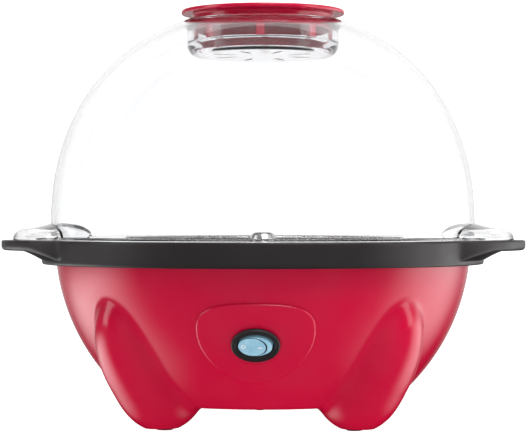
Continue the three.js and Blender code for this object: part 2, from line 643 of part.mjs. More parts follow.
function heatShield() {
  const lip = LEDGE_RADIUS + 4;
  const wall = LEDGE_RADIUS - 6;
  const bore = BUSH_RADIUS + 4;
  let shield = turned([
    [bore, SHIELD_BOTTOM], [wall - 4, SHIELD_BOTTOM], [wall + SHIELD_SHEET, SHIELD_FLANGE_Z],
    [lip, SHIELD_FLANGE_Z], [lip, SHIELD_FLANGE_Z + SHIELD_SHEET], [wall, SHIELD_FLANGE_Z + SHIELD_SHEET],
    [wall - 4 - SHIELD_SHEET, SHIELD_TOP], [bore, SHIELD_TOP],
  ], 32);
  for (const angle of POST_ANGLES) {
    shield = cut(shield, hole(SHIELD_BOTTOM - 1, SHIELD_TOP + 1, ...polar(POST_CIRCLE, angle)));
  }
  for (const [x, y] of rimPostPlaces()) {   // notches round the rim's screw posts
    const notch = cylinder(RIM_POST_RADIUS + LOOSE, SHIELD_FLANGE_Z - 1, LEDGE_BOTTOM, x, y, HOLE_ROUND);
    shield = cut(shield, notch);
  }
  return cut(shield, cylinder(LEAD_HOLE_RADIUS, SHIELD_BOTTOM - 1, SHIELD_TOP + 1, ...LEAD_HOLE));
}
add('heat_shield', heatShield(), GALVANISED);

POST_ANGLES.forEach((angle, k) => {
  const part = add(`shield_screw_${k + 1}`, screw(9), GALVANISED);
  part.position.set(...polar(POST_CIRCLE, angle), BRACKET_BOTTOM - GAP - SCREW_HEAD_HEIGHT);
});

// Bush that carries the shaft through the plate, with a flange on top of the plate.
add('shaft_bush', turned([
  [SHAFT_RADIUS + RUNNING_GAP, SHIELD_TOP + 2], [BUSH_RADIUS, SHIELD_TOP + 2], [BUSH_RADIUS, PLATE_TOP + GAP],
  [HUB_RADIUS + 1.5, PLATE_TOP + GAP], [HUB_RADIUS + 0.5, BUSH_TOP], [SHAFT_RADIUS + RUNNING_GAP, BUSH_TOP],
], 24), STEEL);

function thermostat() {
  const top = PLATE_BOTTOM - GAP;
  return join(cylinder(8, top - 6, top, 0, 0, 20), block(6, 0.8, top - 9, top - 5.5, 0, 4.5),
    block(6, 0.8, top - 9, top - 5.5, 0, -4.5));
}
add('thermostat', thermostat(), CERAMIC).position.set(...polar(38, rad(200)), 0);

function thermalFuse() {
  const fuse = new THREE.CylinderGeometry(2.2, 2.2, 13, 12).translate(0, 0, PLATE_BOTTOM - GAP - 2.2);
  return fuse;
}
add('thermal_fuse', thermalFuse(), ALUMINIUM).position.set(...polar(38, rad(20)), 0);

// ---------------------------------------------------------------- gearbox and motor

function motorBracket() {
  const top = BRACKET_BOTTOM + BRACKET_SHEET;
  let sheet = cylinder(GEAR_MODULE * GEAR_TEETH / 2 + 14, BRACKET_BOTTOM, top, 0, 0, 32);
  for (const angle of POST_ANGLES) {
    sheet = join(sheet, block(POST_CIRCLE + 8, 14, BRACKET_BOTTOM, top, (POST_CIRCLE + 8) / 2, 0, angle));
  }
  sheet = cut(sheet, cylinder(SHAFT_RADIUS + 2, BRACKET_BOTTOM - 1, top + 1));
  for (const angle of POST_ANGLES) {
    sheet = cut(sheet, hole(BRACKET_BOTTOM - 1, top + 1, ...polar(POST_CIRCLE, angle)));
  }
  for (const side of [1, -1]) {
    sheet = cut(sheet, hole(BRACKET_BOTTOM - 1, top + 1, side * LUG_X, LUG_Y));
  }
  return sheet;
}

// Plan of the gearbox: a large circle round the output gear run straight into one round the pinion.
function gearboxOutline(inset) {
  const big = GEARBOX_RADIUS - inset;
  const small = GEAR_MODULE * (PINION_TEETH / 2 + 0.75) + 4 + GEARBOX_WALL - inset;
  const lean = Math.asin((big - small) / MOTOR_Y);
  return new THREE.Shape()
    .absarc(0, 0, big, Math.PI - lean, 2 * Math.PI + lean, false)
    .absarc(0, MOTOR_Y, small, lean, Math.PI - lean, false);
}

function lugs(z0, z1) {
  return [1, -1].map((side) => cylinder(LUG_RADIUS, z0, z1, side * LUG_X, LUG_Y));
}

function lugHoles(z0, z1) {
  return [1, -1].map((side) => hole(z0, z1, side * LUG_X, LUG_Y));
}

function gearboxCase() {
  const shell = prism(gearboxOutline(0), GEARBOX_BOTTOM, GEARBOX_TOP, 10);
  const inside = prism(gearboxOutline(GEARBOX_WALL), GEARBOX_BOTTOM + GEARBOX_WALL, GEARBOX_TOP + 1, 10);
  return cut(join(shell, ...lugs(GEARBOX_TOP - 3, GEARBOX_TOP)), inside,
    cylinder(SHAFT_RADIUS + RUNNING_GAP, GEARBOX_BOTTOM - 1, GEARBOX_TOP),
    cylinder(ROTOR_SHAFT_RADIUS + 1, GEARBOX_BOTTOM - 1, GEARBOX_TOP, 0, MOTOR_Y),
    ...lugHoles(GEARBOX_TOP - 4, GEARBOX_TOP + 1));
}

function gearboxLid() {
  const top = LID_BOTTOM + 1.4;
  return cut(join(prism(gearboxOutline(0), LID_BOTTOM, top, 10), ...lugs(LID_BOTTOM, top)),
    cylinder(SHAFT_RADIUS + RUNNING_GAP, LID_BOTTOM - 1, top + 1), ...lugHoles(LID_BOTTOM - 1, top + 1));
}

add('motor_bracket', motorBracket(), GALVANISED);
add('gearbox_case', gearboxCase(), GALVANISED);
add('gearbox_lid', gearboxLid(), GALVANISED);
[1, -1].forEach((side, k) => {
  const part = add(`gearbox_screw_${k + 1}`, screw(6), GALVANISED);
  part.position.set(side * LUG_X, LUG_Y, GEARBOX_TOP - 3 - GAP - SCREW_HEAD_HEIGHT);
});

add('motor_can', turned([
  [0, MOTOR_BOTTOM], [MOTOR_RADIUS, MOTOR_BOTTOM], [MOTOR_RADIUS, MOTOR_TOP],
  [ROTOR_SHAFT_RADIUS + 4, MOTOR_TOP], [ROTOR_SHAFT_RADIUS + 4, MOTOR_TOP - 1.2],
  [MOTOR_RADIUS - 1.2, MOTOR_TOP - 1.2],
  [MOTOR_RADIUS - 1.2, MOTOR_BOTTOM + 1.2], [0, MOTOR_BOTTOM + 1.2],
], 32), GALVANISED).position.y = MOTOR_Y;
add('stator_coil', tube(MOTOR_RADIUS - 1.8, ROTOR_RADIUS + 1, MOTOR_BOTTOM + 2.5, MOTOR_TOP - 2.5, 32),
  COPPER).position.y = MOTOR_Y;

// ---------------------------------------------------------------- turning parts

// Straight-sided teeth, thin enough to leave play between the two gears; `phase` turns the first tooth.
function gear(teeth, bore, z0, z1, phase) {
  const pitch = 2 * Math.PI / teeth;
  const pitchRadius = GEAR_MODULE * teeth / 2;
  const shape = new THREE.Shape();
  for (let i = 0; i < teeth; i++) {
    const corners = [[-0.29, -1.05], [-0.13, 0.75], [0.13, 0.75], [0.29, -1.05]];
    corners.forEach(([turn, height], k) => {
      const point = polar(pitchRadius + GEAR_MODULE * height, phase + (i + turn) * pitch);
      if (i || k) shape.lineTo(...point); else shape.moveTo(...point);
    });
  }
  return cut(prism(shape, z0, z1, 1), cylinder(bore, z0 - 1, z1 + 1));
}

function driveShaft() {
  const shaft = cylinder(SHAFT_RADIUS, GEARBOX_BOTTOM + 0.2, SHAFT_TOP, 0, 0, 20);
  return cut(shaft, block(3 * SHAFT_RADIUS, 2 * ROD_RADIUS + 0.6, HUB_BOTTOM + 0.1, SHAFT_TOP + 1));
}
add('drive_shaft', driveShaft(), STEEL);
add('output_gear', gear(GEAR_TEETH, SHAFT_RADIUS + GAP, GEAR_Z, GEAR_Z + GEAR_WIDTH,
  Math.PI / 2 + Math.PI / GEAR_TEETH), NYLON);

const rotorGroup = new THREE.Group();
rotorGroup.position.y = MOTOR_Y;
popcornMaker.add(rotorGroup);
add('motor_rotor', turned([
  [0, MOTOR_BOTTOM + 1.8], [ROTOR_SHAFT_RADIUS, MOTOR_BOTTOM + 1.8], [ROTOR_SHAFT_RADIUS, MOTOR_BOTTOM + 3],
  [ROTOR_RADIUS, MOTOR_BOTTOM + 3], [ROTOR_RADIUS, MOTOR_TOP - 3], [ROTOR_SHAFT_RADIUS, MOTOR_TOP - 3],
  [ROTOR_SHAFT_RADIUS, GEAR_Z + GEAR_WIDTH + 2], [0, GEAR_Z + GEAR_WIDTH + 2],
], 24), STEEL, rotorGroup);
add('rotor_pinion', gear(PINION_TEETH, ROTOR_SHAFT_RADIUS + GAP, GEAR_Z - 0.5, GEAR_Z + GEAR_WIDTH + 0.5,
  -Math.PI / 2), NYLON, rotorGroup);

// Stirring rod: one wire bent in a shallow S, drooping a little towards its ends, held in the shaft's slot.
function stirringRod() {
  const points = [];
  for (let i = -10; i <= 10; i++) {
    const t = i / 10;
    const far = Math.max(0, Math.abs(t) - 0.15) / 0.85;
    points.push([t * ROD_REACH, -Math.sign(t) * 9 * far ** 2, ROD_Z - ROD_DROOP * far ** 2]);
  }
  return wire(points, ROD_RADIUS, 24);
}
add('stirring_rod', stirringRod(), STEEL);

function rodHub() {
  const top = HUB_BOTTOM + HUB_HEIGHT;
  const cone = turned([
    [SHAFT_RADIUS + GAP, HUB_BOTTOM], [HUB_RADIUS, HUB_BOTTOM], [HUB_RADIUS, HUB_BOTTOM + 1],
    [HUB_TOP_RADIUS, top - 0.6], [HUB_TOP_RADIUS - 0.6, top], [0, top], [0, SHAFT_TOP + 0.5],
    [SHAFT_RADIUS + GAP, SHAFT_TOP + 0.5],
  ], 24);
  return cut(cone, block(3 * HUB_RADIUS, 2 * (ROD_RADIUS + GAP), HUB_BOTTOM - 1, ROD_Z + ROD_RADIUS + GAP));
}
add('rod_hub', rodHub(), STEEL);

// ---------------------------------------------------------------- switch

const switchGroup = new THREE.Group();
switchGroup.applyMatrix4(SWITCH_PLACE);
popcornMaker.add(switchGroup);

const ROCKER_OPENING = [ROCKER_LENGTH / 2 + 0.75, ROCKER_WIDTH / 2 + 0.55];

function switchBezel() {
  const flange = prism(ellipse(SWITCH_LENGTH / 2, SWITCH_WIDTH / 2), GAP, 2.5, 12, 0.6);
  const neck = prism(ellipse(SWITCH_LENGTH / 2 - 1.6 - GAP, SWITCH_WIDTH / 2 - 1.6 - GAP), -7, 1, 12);
  return cut(join(flange, neck), prism(ellipse(...ROCKER_OPENING), -8, 4, 12));
}
add('switch_bezel', switchBezel(), BLACK, switchGroup);

function switchBody() {
  const bottom = -17;
  const blades = [-6, 0, 6].map((x) => block(0.8, 5, bottom - 7, bottom + 1, x));
  return join(block(20, 13, bottom, -7 - GAP), ...blades);
}
add('switch_body', switchBody(), SOFT_BLACK, switchGroup);

const rocker = add('rocker', prism(ellipse(ROCKER_LENGTH / 2, ROCKER_WIDTH / 2),
  -ROCKER_THICKNESS / 2, ROCKER_THICKNESS / 2, 16), BLUE, switchGroup);
rocker.position.z = GAP;
rocker.rotation.y = -rad(ROCKER_TILT);

// ---------------------------------------------------------------- mains inlet and wiring

const glandGroup = new THREE.Group();
glandGroup.applyMatrix4(GLAND_PLACE);
popcornMaker.add(glandGroup);
const NECK = GLAND_BORE + GLAND_WALL;
add('cord_gland', turned([
  [GLAND_BORE, -10], [NECK, -10], [NECK, GAP], [NECK + 4, GAP], [NECK + 4, GAP + GLAND_FLANGE - 0.6],
  [NECK + 3.4, GAP + GLAND_FLANGE], [GLAND_BORE, GAP + GLAND_FLANGE],
], 24), BLACK, glandGroup);
add('gland_nut', cut(cylinder(NECK + 4.5, -8.5, -4 - GAP, 0, 0, 6), cylinder(NECK + GAP, -9, -4, 0, 0, 24)),
  NYLON, glandGroup);

const TERMINAL_TOP = SHIELD_BOTTOM - GAP;
const TERMINAL_BOTTOM = TERMINAL_TOP - TERMINAL_HEIGHT;
const TERMINALS = [-8, 0, 8];
function terminalBlock() {
  const holes = TERMINALS.map((x) => cylinder(2, TERMINAL_BOTTOM - 1, TERMINAL_BOTTOM + 6, x, 0, 12));
  return cut(block(26, 14, TERMINAL_BOTTOM, TERMINAL_TOP), ...holes);
}
add('terminal_block', terminalBlock(), NYLON).position.set(...TERMINAL_PLACE, 0);

// Insulated leads inside the base, each from its own terminal: it drops out of the block, then runs by
// the places given.
function lead(terminal, ...places) {
  const [x, y] = TERMINAL_PLACE;
  const start = x + TERMINALS[terminal];
  const down = [[start, y, TERMINAL_BOTTOM + 2], [start, y, TERMINAL_BOTTOM - 9]];
  return wire([...down, ...places], LEAD_RADIUS, 3 * places.length + 2);
}

function switchLead() {
  const low = TERMINAL_BOTTOM - 24;
  const blade = new THREE.Vector3(-6, 0, -25.5).applyMatrix4(SWITCH_PLACE);
  return lead(0, [-56, 2, low], [-38, -40, low], [blade.x, blade.y + 14, blade.z + 4], blade.toArray());
}
add('switch_lead', switchLead(), WIRE);

function motorLead() {
  const side = -MOTOR_RADIUS - LEAD_RADIUS;
  const z = MOTOR_BOTTOM + 4;
  return lead(1, [-38, 31, z + 4], [side - 5, MOTOR_Y, z], [side - 0.9, MOTOR_Y, z]);
}
add('motor_lead', motorLead(), WIRE);

function heaterLead() {
  const [x, y] = polar(ELEMENT_CIRCLE - 20, rad(250));
  return lead(2, [-40, -8, TERMINAL_BOTTOM - 8], [...LEAD_HOLE, TERMINAL_BOTTOM + 2],
    [...LEAD_HOLE, SHIELD_TOP + 2], [x - 4, y, PLATE_BOTTOM - 4], [x + 0.6, y - 1, PLATE_BOTTOM - 3.6]);
}
add('heater_lead', heaterLead(), WIRE);

// ---------------------------------------------------------------- dome

const WELL_OUTSIDE = WELL_RADIUS + DOME_WALL;

// Part of the dome's curve, between two distances from the axis.
function domeCurve(radius, height, fromRadius, toRadius, steps) {
  const turns = [fromRadius, toRadius].map((r) => Math.acos(Math.min(1, r / radius) ** (DOME_POWER / 2)));
  return Array.from({ length: steps + 1 }, (_, i) => {
    const a = turns[0] + (turns[1] - turns[0]) * i / steps;
    const [c, s] = [Math.cos(a), Math.sin(a)].map((v) => v ** (2 / DOME_POWER));
    return [radius * c, DOME_BASE_Z + height * s];
  });
}

// Arch across an ear, seen from the side: a superellipse |y|^3 + |z|^3 = 1 over a straight foot.
function earArch(halfWidth, height) {
  const outline = new THREE.Shape();
  outline.moveTo(halfWidth, -12);
  for (let i = 0; i <= 20; i++) {
    const [c, s] = polar(1, Math.PI * i / 20);
    outline.lineTo(halfWidth * Math.sign(c) * Math.abs(c) ** (2 / 3), height * Math.max(s, 0) ** (2 / 3));
  }
  outline.lineTo(-halfWidth, -12);
  const alongX = new THREE.Matrix4().makeBasis(
    new THREE.Vector3(0, 1, 0), new THREE.Vector3(0, 0, 1), new THREE.Vector3(1, 0, 0));
  const arch = placed(prism(outline, -2 * BOWL_RADIUS, 2 * BOWL_RADIUS, 1), alongX);
  return arch.translate(0, 0, DOME_EDGE_Z);
}

function dome() {
  const inner = DOME_RADIUS - DOME_WALL;
  const lip = REBATE_Z + GAP;
  const shell = turned([
    [DOME_RADIUS, lip], [DOME_RADIUS, DOME_EDGE_Z], [DOME_RADIUS + DOME_BEAD, DOME_EDGE_Z],
    [DOME_RADIUS + DOME_BEAD, DOME_EDGE_Z + 1.8], [DOME_RADIUS, DOME_EDGE_Z + 2.4],
    ...domeCurve(DOME_RADIUS, DOME_HEIGHT, DOME_RADIUS, CROWN_RADIUS, 8),
    [WELL_OUTSIDE + GAP, CROWN_TOP],
    ...domeCurve(inner, DOME_HEIGHT - DOME_WALL, WELL_OUTSIDE + GAP, inner, 7),
    [inner, lip],
  ], MID_ROUND);
  const earTop = DOME_EDGE_Z + DOME_EAR_HEIGHT;
  const slab = cylinder(2 * BOWL_RADIUS, DOME_EDGE_Z, earTop + 5, 0, 0, 8);
  const wall = cylinder(DOME_RADIUS - 1.2, DOME_EDGE_Z - 20, earTop + 5, 0, 0, MID_ROUND);
  const outside = cylinder(DOME_RADIUS + GAP, DOME_EDGE_Z - 20, earTop + 5, 0, 0, MID_ROUND);
  const arch = earArch(DOME_EAR_HALF_WIDTH, DOME_EAR_HEIGHT + 1);
  const archInside = earArch(DOME_EAR_HALF_WIDTH - DOME_WALL, DOME_EAR_HEIGHT + 1 - DOME_WALL);
  const ears = [];
  const hollows = [];
  for (const side of [1, -1]) {
    const outline = (inset) => earOutline(DOME_RADIUS, DOME_EAR_REACH, DOME_EAR_CURVE, side, inset);
    const ear = prism(outline(0), DOME_EDGE_Z - 8, earTop, 12, 4);
    const hollow = prism(outline(2), DOME_EDGE_Z - 8, earTop - 2.2, 12, 2.5);
    ears.push(ear.intersect(slab).intersect(arch).subtract(wall));
    hollows.push(hollow.intersect(archInside).subtract(outside));
  }
  return cut(join(shell, ...ears), ...hollows);
}
add('dome', dome(), CLEAR);

// Butter well: the cup sunk in the dome's crown, its floor slotted so that melted butter drips through.
function butterWell() {
  const step = WELL_RADIUS - WELL_STEP;
  const cup = turned([
    [WELL_OUTSIDE, CROWN_TOP], [WELL_RADIUS + 0.8, CROWN_TOP], [WELL_RADIUS, CROWN_TOP - 1.8],
    [WELL_RADIUS, WELL_LEDGE], [step, WELL_LEDGE], [step, WELL_FLOOR], [0, WELL_FLOOR],
    [0, WELL_FLOOR - DOME_WALL], [step + DOME_WALL, WELL_FLOOR - DOME_WALL],
    [WELL_OUTSIDE, WELL_LEDGE - DOME_WALL],
  ], MID_ROUND);
  const slots = Array.from({ length: WELL_SLOTS }, (_, k) => block(SLOT_LENGTH, SLOT_WIDTH, WELL_FLOOR - 5,
    WELL_FLOOR + 1, WELL_RADIUS - SLOT_INSET, 0, 2 * Math.PI * (k + 0.5) / WELL_SLOTS));
  return cut(cup, ...slots);
}
add('butter_well', butterWell(), CLEAR);

// ---------------------------------------------------------------- cap

function ventCap() {
  const skirtInside = CAP_SKIRT_RADIUS - CAP_WALL;
  const skirtBottom = CAP_FLANGE_Z - CAP_SKIRT;
  const top = CAP_FLANGE_Z + CAP_FLANGE;
  const cap = turned([
    [0, CAP_FLANGE_Z], [skirtInside, CAP_FLANGE_Z], [skirtInside, skirtBottom],
    [CAP_SKIRT_RADIUS, skirtBottom], [CAP_SKIRT_RADIUS, CAP_FLANGE_Z],
    [CAP_SKIRT_RADIUS + CAP_OVERHANG, CAP_FLANGE_Z],
    [CAP_SKIRT_RADIUS + CAP_OVERHANG, top - 0.8], [CAP_SKIRT_RADIUS + CAP_OVERHANG - 0.8, top], [0, top],
  ], MID_ROUND);
  const band = tube(CAP_SKIRT_RADIUS, skirtInside, WELL_LEDGE + GAP, skirtBottom + 1);
  const legs = Array.from({ length: CAP_LEGS }, (_, k) => block(10, CAP_LEG_WIDTH, WELL_LEDGE,
    skirtBottom + 2, CAP_SKIRT_RADIUS, 0, 2 * Math.PI * k / CAP_LEGS));
  return join(cap, join(...legs).intersect(band));
}
add('cap', ventCap(), RED);

export default popcornMaker;
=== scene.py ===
import json
import math

import bmesh
import bpy
import numpy as np
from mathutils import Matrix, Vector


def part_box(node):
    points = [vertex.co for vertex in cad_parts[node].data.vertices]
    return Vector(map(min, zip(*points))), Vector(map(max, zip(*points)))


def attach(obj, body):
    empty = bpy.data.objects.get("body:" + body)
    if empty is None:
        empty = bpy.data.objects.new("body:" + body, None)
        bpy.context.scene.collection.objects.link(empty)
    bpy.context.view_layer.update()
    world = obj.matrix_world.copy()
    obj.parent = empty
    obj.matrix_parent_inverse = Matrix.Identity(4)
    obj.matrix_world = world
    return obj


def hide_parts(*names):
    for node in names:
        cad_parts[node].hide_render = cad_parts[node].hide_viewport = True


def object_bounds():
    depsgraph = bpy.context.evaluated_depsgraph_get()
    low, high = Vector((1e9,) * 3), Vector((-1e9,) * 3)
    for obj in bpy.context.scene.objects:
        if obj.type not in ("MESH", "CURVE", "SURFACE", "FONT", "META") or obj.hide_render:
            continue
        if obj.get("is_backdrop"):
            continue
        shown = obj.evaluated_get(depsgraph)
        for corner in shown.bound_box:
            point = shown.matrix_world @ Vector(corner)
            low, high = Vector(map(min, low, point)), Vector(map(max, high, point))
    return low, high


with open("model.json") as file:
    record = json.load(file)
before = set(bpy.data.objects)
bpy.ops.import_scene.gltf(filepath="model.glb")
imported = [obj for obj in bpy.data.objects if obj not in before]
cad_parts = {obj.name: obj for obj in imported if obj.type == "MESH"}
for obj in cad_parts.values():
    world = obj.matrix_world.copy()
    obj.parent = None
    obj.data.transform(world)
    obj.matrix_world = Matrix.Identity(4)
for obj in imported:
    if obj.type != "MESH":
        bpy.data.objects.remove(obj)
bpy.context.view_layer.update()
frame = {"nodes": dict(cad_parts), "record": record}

# ------------------------------------------------------------ camera
# A long lens level with the lower part of the dome, a little to the right of the switch, as a small
# appliance is photographed on a table. The optical axis stays level and the frame is shifted.
MM = 0.001
SWING = math.radians(2.0)
CAMERA_DISTANCE = 1147 * MM
CAMERA_HEIGHT = 117.2 * MM
WIDTH_AT_AXIS = 305.155 * MM
SENSOR = 36

camera_data = bpy.data.cameras.new("camera")
camera_data.sensor_width = SENSOR
camera_data.lens = SENSOR * CAMERA_DISTANCE / WIDTH_AT_AXIS
camera_data.shift_x = 0.006
camera_data.shift_y = -0.0038
camera = bpy.data.objects.new("camera", camera_data)
camera.location = (CAMERA_DISTANCE * math.sin(SWING), -CAMERA_DISTANCE * math.cos(SWING), CAMERA_HEIGHT)
camera.rotation_euler = (math.pi / 2, 0, SWING)
bpy.context.scene.collection.objects.link(camera)
bpy.context.scene.camera = camera
bpy.context.scene.view_settings.view_transform = "Standard"


# ------------------------------------------------------------ table and studio
# A white sheet that lies on the table and curves up behind. Large soft boxes stand at both sides and
# overhead, and the room is white behind and at the sides and dimmer in front.
SHEET_FRONT, SHEET_BEND, BEND_RADIUS, SHEET_TOP = -2600, 1500, 700, 3000
SHEET_HALF_WIDTH = 3500


def link(name, mesh, material=None):
    """A new object for a mesh, linked to the scene, with its material."""
    piece = bpy.data.objects.new(name, mesh)
    bpy.context.scene.collection.objects.link(piece)
    if material:
        mesh.materials.append(material)
    return piece


def grid_mesh(name, points, wrap_u=False, wrap_v=False, smooth=True):
    """Mesh over a grid of points, shape (U, V, 3) in millimetres: one quad between each four neighbours,
    with the last row or column joined to the first where it wraps."""
    u, v = points.shape[:2]
    rows, columns = np.arange(u if wrap_u else u - 1), np.arange(v if wrap_v else v - 1)
    i, j = np.meshgrid(rows, columns, indexing="ij")
    quads = np.stack([i * v + j, (i + 1) % u * v + j, (i + 1) % u * v + (j + 1) % v, i * v + (j + 1) % v], -1)
    mesh = bpy.data.meshes.new(name)
    mesh.vertices.add(u * v)
    mesh.vertices.foreach_set("co", (points * MM).astype(np.float32).ravel())
    faces = quads.reshape(-1, 4)
    mesh.loops.add(faces.size)
    mesh.loops.foreach_set("vertex_index", faces.ravel().astype(np.int32))
    mesh.polygons.add(len(faces))
    mesh.polygons.foreach_set("loop_start", np.arange(0, faces.size, 4, dtype=np.int32))
    mesh.polygons.foreach_set("use_smooth", np.full(len(faces), smooth))
    mesh.update(calc_edges=True)
    return mesh


def plain_material(name, color, roughness, metallic=0.0, specular=0.5):
    """Principled material with its constants on the shader's own sockets; returns it, its nodes and the
    shader."""
    material = bpy.data.materials.new(name)
    material.use_nodes = True
    shader = material.node_tree.nodes["Principled BSDF"]
    shader.inputs["Base Color"].default_value = (*color, 1)
    shader.inputs["Roughness"].default_value = roughness
    shader.inputs["Metallic"].default_value = metallic
    shader.inputs["Specular IOR Level"].default_value = specular
    return material, material.node_tree, shader


bend = np.linspace(0.1, 1.0, 12) * math.pi / 2
sweep = np.concatenate([np.linspace(SHEET_FRONT, SHEET_BEND, 24), SHEET_BEND + BEND_RADIUS * np.sin(bend),
                        np.full(6, SHEET_BEND + BEND_RADIUS)])
rise = np.concatenate([np.zeros(24), BEND_RADIUS * (1 - np.cos(bend)),
                       np.linspace(BEND_RADIUS + 200, SHEET_TOP, 6)])
across = np.linspace(-SHEET_HALF_WIDTH, SHEET_HALF_WIDTH, 8)
sheet_points = np.stack(np.broadcast_arrays(across[:, None], sweep[None, :], rise[None, :]), -1)
table_white, table_tree, table_shader = plain_material("table_white", (0.5, 0.5, 0.5), 0.9)
table_shader.inputs["Emission Color"].default_value = (1, 1, 1, 1)
seen = table_tree.nodes.new("ShaderNodeLightPath")
glow = table_tree.nodes.new("ShaderNodeMapRange")
glow.inputs["To Min"].default_value = 1.08
glow.inputs["To Max"].default_value = 0.68
table_tree.links.new(seen.outputs["Is Diffuse Ray"], glow.inputs["Value"])
table_tree.links.new(glow.outputs["Result"], table_shader.inputs["Emission Strength"])
table = link("table_sheet", grid_mesh("table_sheet", sheet_points), table_white)
table.visible_glossy = False
table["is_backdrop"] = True

room = bpy.data.worlds.new("studio")
bpy.context.scene.world = room
room.use_nodes = True
room_nodes = room.node_tree.nodes
room_links = room.node_tree.links
room_light = room_nodes["Background"]
room_light.inputs["Color"].default_value = (1, 1, 1, 1)
room_place = room_nodes.new("ShaderNodeTexCoord")
room_split = room_nodes.new("ShaderNodeSeparateXYZ")
room_links.new(room_place.outputs["Generated"], room_split.inputs[0])


def ramp(source, first, last, low, high):
    """World node: a smooth step of a direction's component, from `low` at `first` to `high` at `last`."""
    node = room_nodes.new("ShaderNodeMapRange")
    node.interpolation_type = "SMOOTHSTEP"
    for key, value in (("From Min", first), ("From Max", last), ("To Min", low), ("To Max", high)):
        node.inputs[key].default_value = value
    room_links.new(source, node.inputs["Value"])
    return node.outputs["Result"]


def joined(operation, first, *others):
    """World nodes: the sum, difference or product of two or more values, from left to right."""
    for other in others:
        node = room_nodes.new("ShaderNodeMath")
        node.operation = operation
        room_links.new(first, node.inputs[0])
        room_links.new(other, node.inputs[1])
        first = node.outputs[0]
    return first


sideways, ahead, upwards = [room_split.outputs[key] for key in "XYZ"]
shell = joined("MULTIPLY", ramp(ahead, -0.75, 0.35, 0.34, 1.0), ramp(upwards, -0.3, 0.1, 0.0, 1.0),
               ramp(sideways, -0.8, -0.2, 0.15, 1.0), ramp(sideways, 0.2, 0.75, 1.0, 0.2))
behind = ramp(ahead, -0.35, 0.2, 0.0, 1.0)
above = ramp(upwards, 0.3, 0.6, 0.0, 0.7)
shell = joined("SUBTRACT", shell, joined("MULTIPLY", shell, above, behind))
left_card = joined("MULTIPLY", ramp(sideways, -0.9, -0.4, 3.6, 0.0), ramp(upwards, -0.28, -0.06, 1.0, 0.0))
right_card = joined("MULTIPLY", ramp(sideways, 0.45, 0.9, 0.0, 3.0), ramp(upwards, -0.05, 0.3, 1.0, 0.15))
total = joined("ADD", shell, joined("MULTIPLY", behind, joined("ADD", left_card, right_card)))
room_links.new(total, room_light.inputs["Strength"])


def soft_box(name, place, size, power):
    """Rectangular area lamp at a place, turned to face the middle of the object."""
    lamp = bpy.data.lights.new(name, "AREA")
    lamp.shape = "RECTANGLE"
    lamp.size, lamp.size_y = size
    lamp.energy = power
    holder = bpy.data.objects.new(name, lamp)
    bpy.context.scene.collection.objects.link(holder)
    holder.location = place
    x, y, z = np.array(place) - np.array((0, 0, 0.08))
    holder.rotation_euler = (math.atan2(math.hypot(x, y), z), 0, math.atan2(y, x) + math.pi / 2)


soft_box("overhead_box", (0.35, -0.7, 1.2), (0.8, 0.6), 11)
soft_box("left_box", (-1.1, -0.3, 0.55), (0.5, 0.9), 4)
soft_box("right_box", (1.1, -0.35, 0.55), (0.5, 0.9), 3.8)


# ------------------------------------------------------------ base housing
# The red bowl-shaped base: one injection-moulded polypropylene shell, about 2.5 mm thick and polished on
# the outside. Four leaning lobes grow out of the bowl and end in rounded feet, and a raised shield on the
# front carries the switch. It is open below, where a round cover screws in.
def node_box(name):
    """Lowest and highest corner of a CAD node, in millimetres."""
    low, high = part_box(name)
    return np.array(low) / MM, np.array(high) / MM


rim_low, rim_high = node_box("rim_ring")
RIM_TOP = rim_high[2]
RIM_RADIUS = rim_high[1]
BOWL_RADIUS = RIM_RADIUS - 7.5
BOWL_CENTRE = RIM_TOP + 0.5
UNDERSIDE = node_box("bottom_cover")[0][2]
UNDERSIDE_RADIUS = 75.7
BOWL_HEIGHT = (BOWL_CENTRE - UNDERSIDE) / math.sqrt(1 - (UNDERSIDE_RADIUS / BOWL_RADIUS) ** 2)
HOUSING_TOP = node_box("base_housing")[1][2]
HOUSING_WALL = 2.5
FOOT_RADIUS = 73.5
FOOT_BALL = 22.0
FOOT_SOLE = 1.2
FOOT_ANGLES = [math.pi / 4 + k * math.pi / 2 for k in range(4)]
FOOT_RECESS = 4.9
LOBE_OUT, LOBE_UP = 18.0, 39.0
LOBE_LENGTH, LOBE_WIDTH = 39.5, 21.0
LOBE_LEAN = math.radians(28)
PAD_WIDTH, PAD_UP, PAD_DOWN, PAD_MIDDLE, PAD_HEIGHT = 31.3, 14.9, 28.4, 57.2, 1.6
PAD_BEVEL = 1.7


def smooth_min(a, b, k):
    """Smaller of two distances, blended over a width k: b + (a - b) h - k h (1 - h)."""
    h = np.clip(0.5 + 0.5 * (b - a) / k, 0, 1)
    return b + (a - b) * h - k * h * (1 - h)


def spheroid(x, y, z, a, b, c):
    """Distance to a spheroid with half-axes a, b, c: k0 (k0 - 1) / k1."""
    k0 = np.sqrt((x / a) ** 2 + (y / b) ** 2 + (z / c) ** 2)
    k1 = np.sqrt((x / a ** 2) ** 2 + (y / b ** 2) ** 2 + (z / c ** 2) ** 2)
    return k0 * (k0 - 1) / np.maximum(k1, 1e-9)


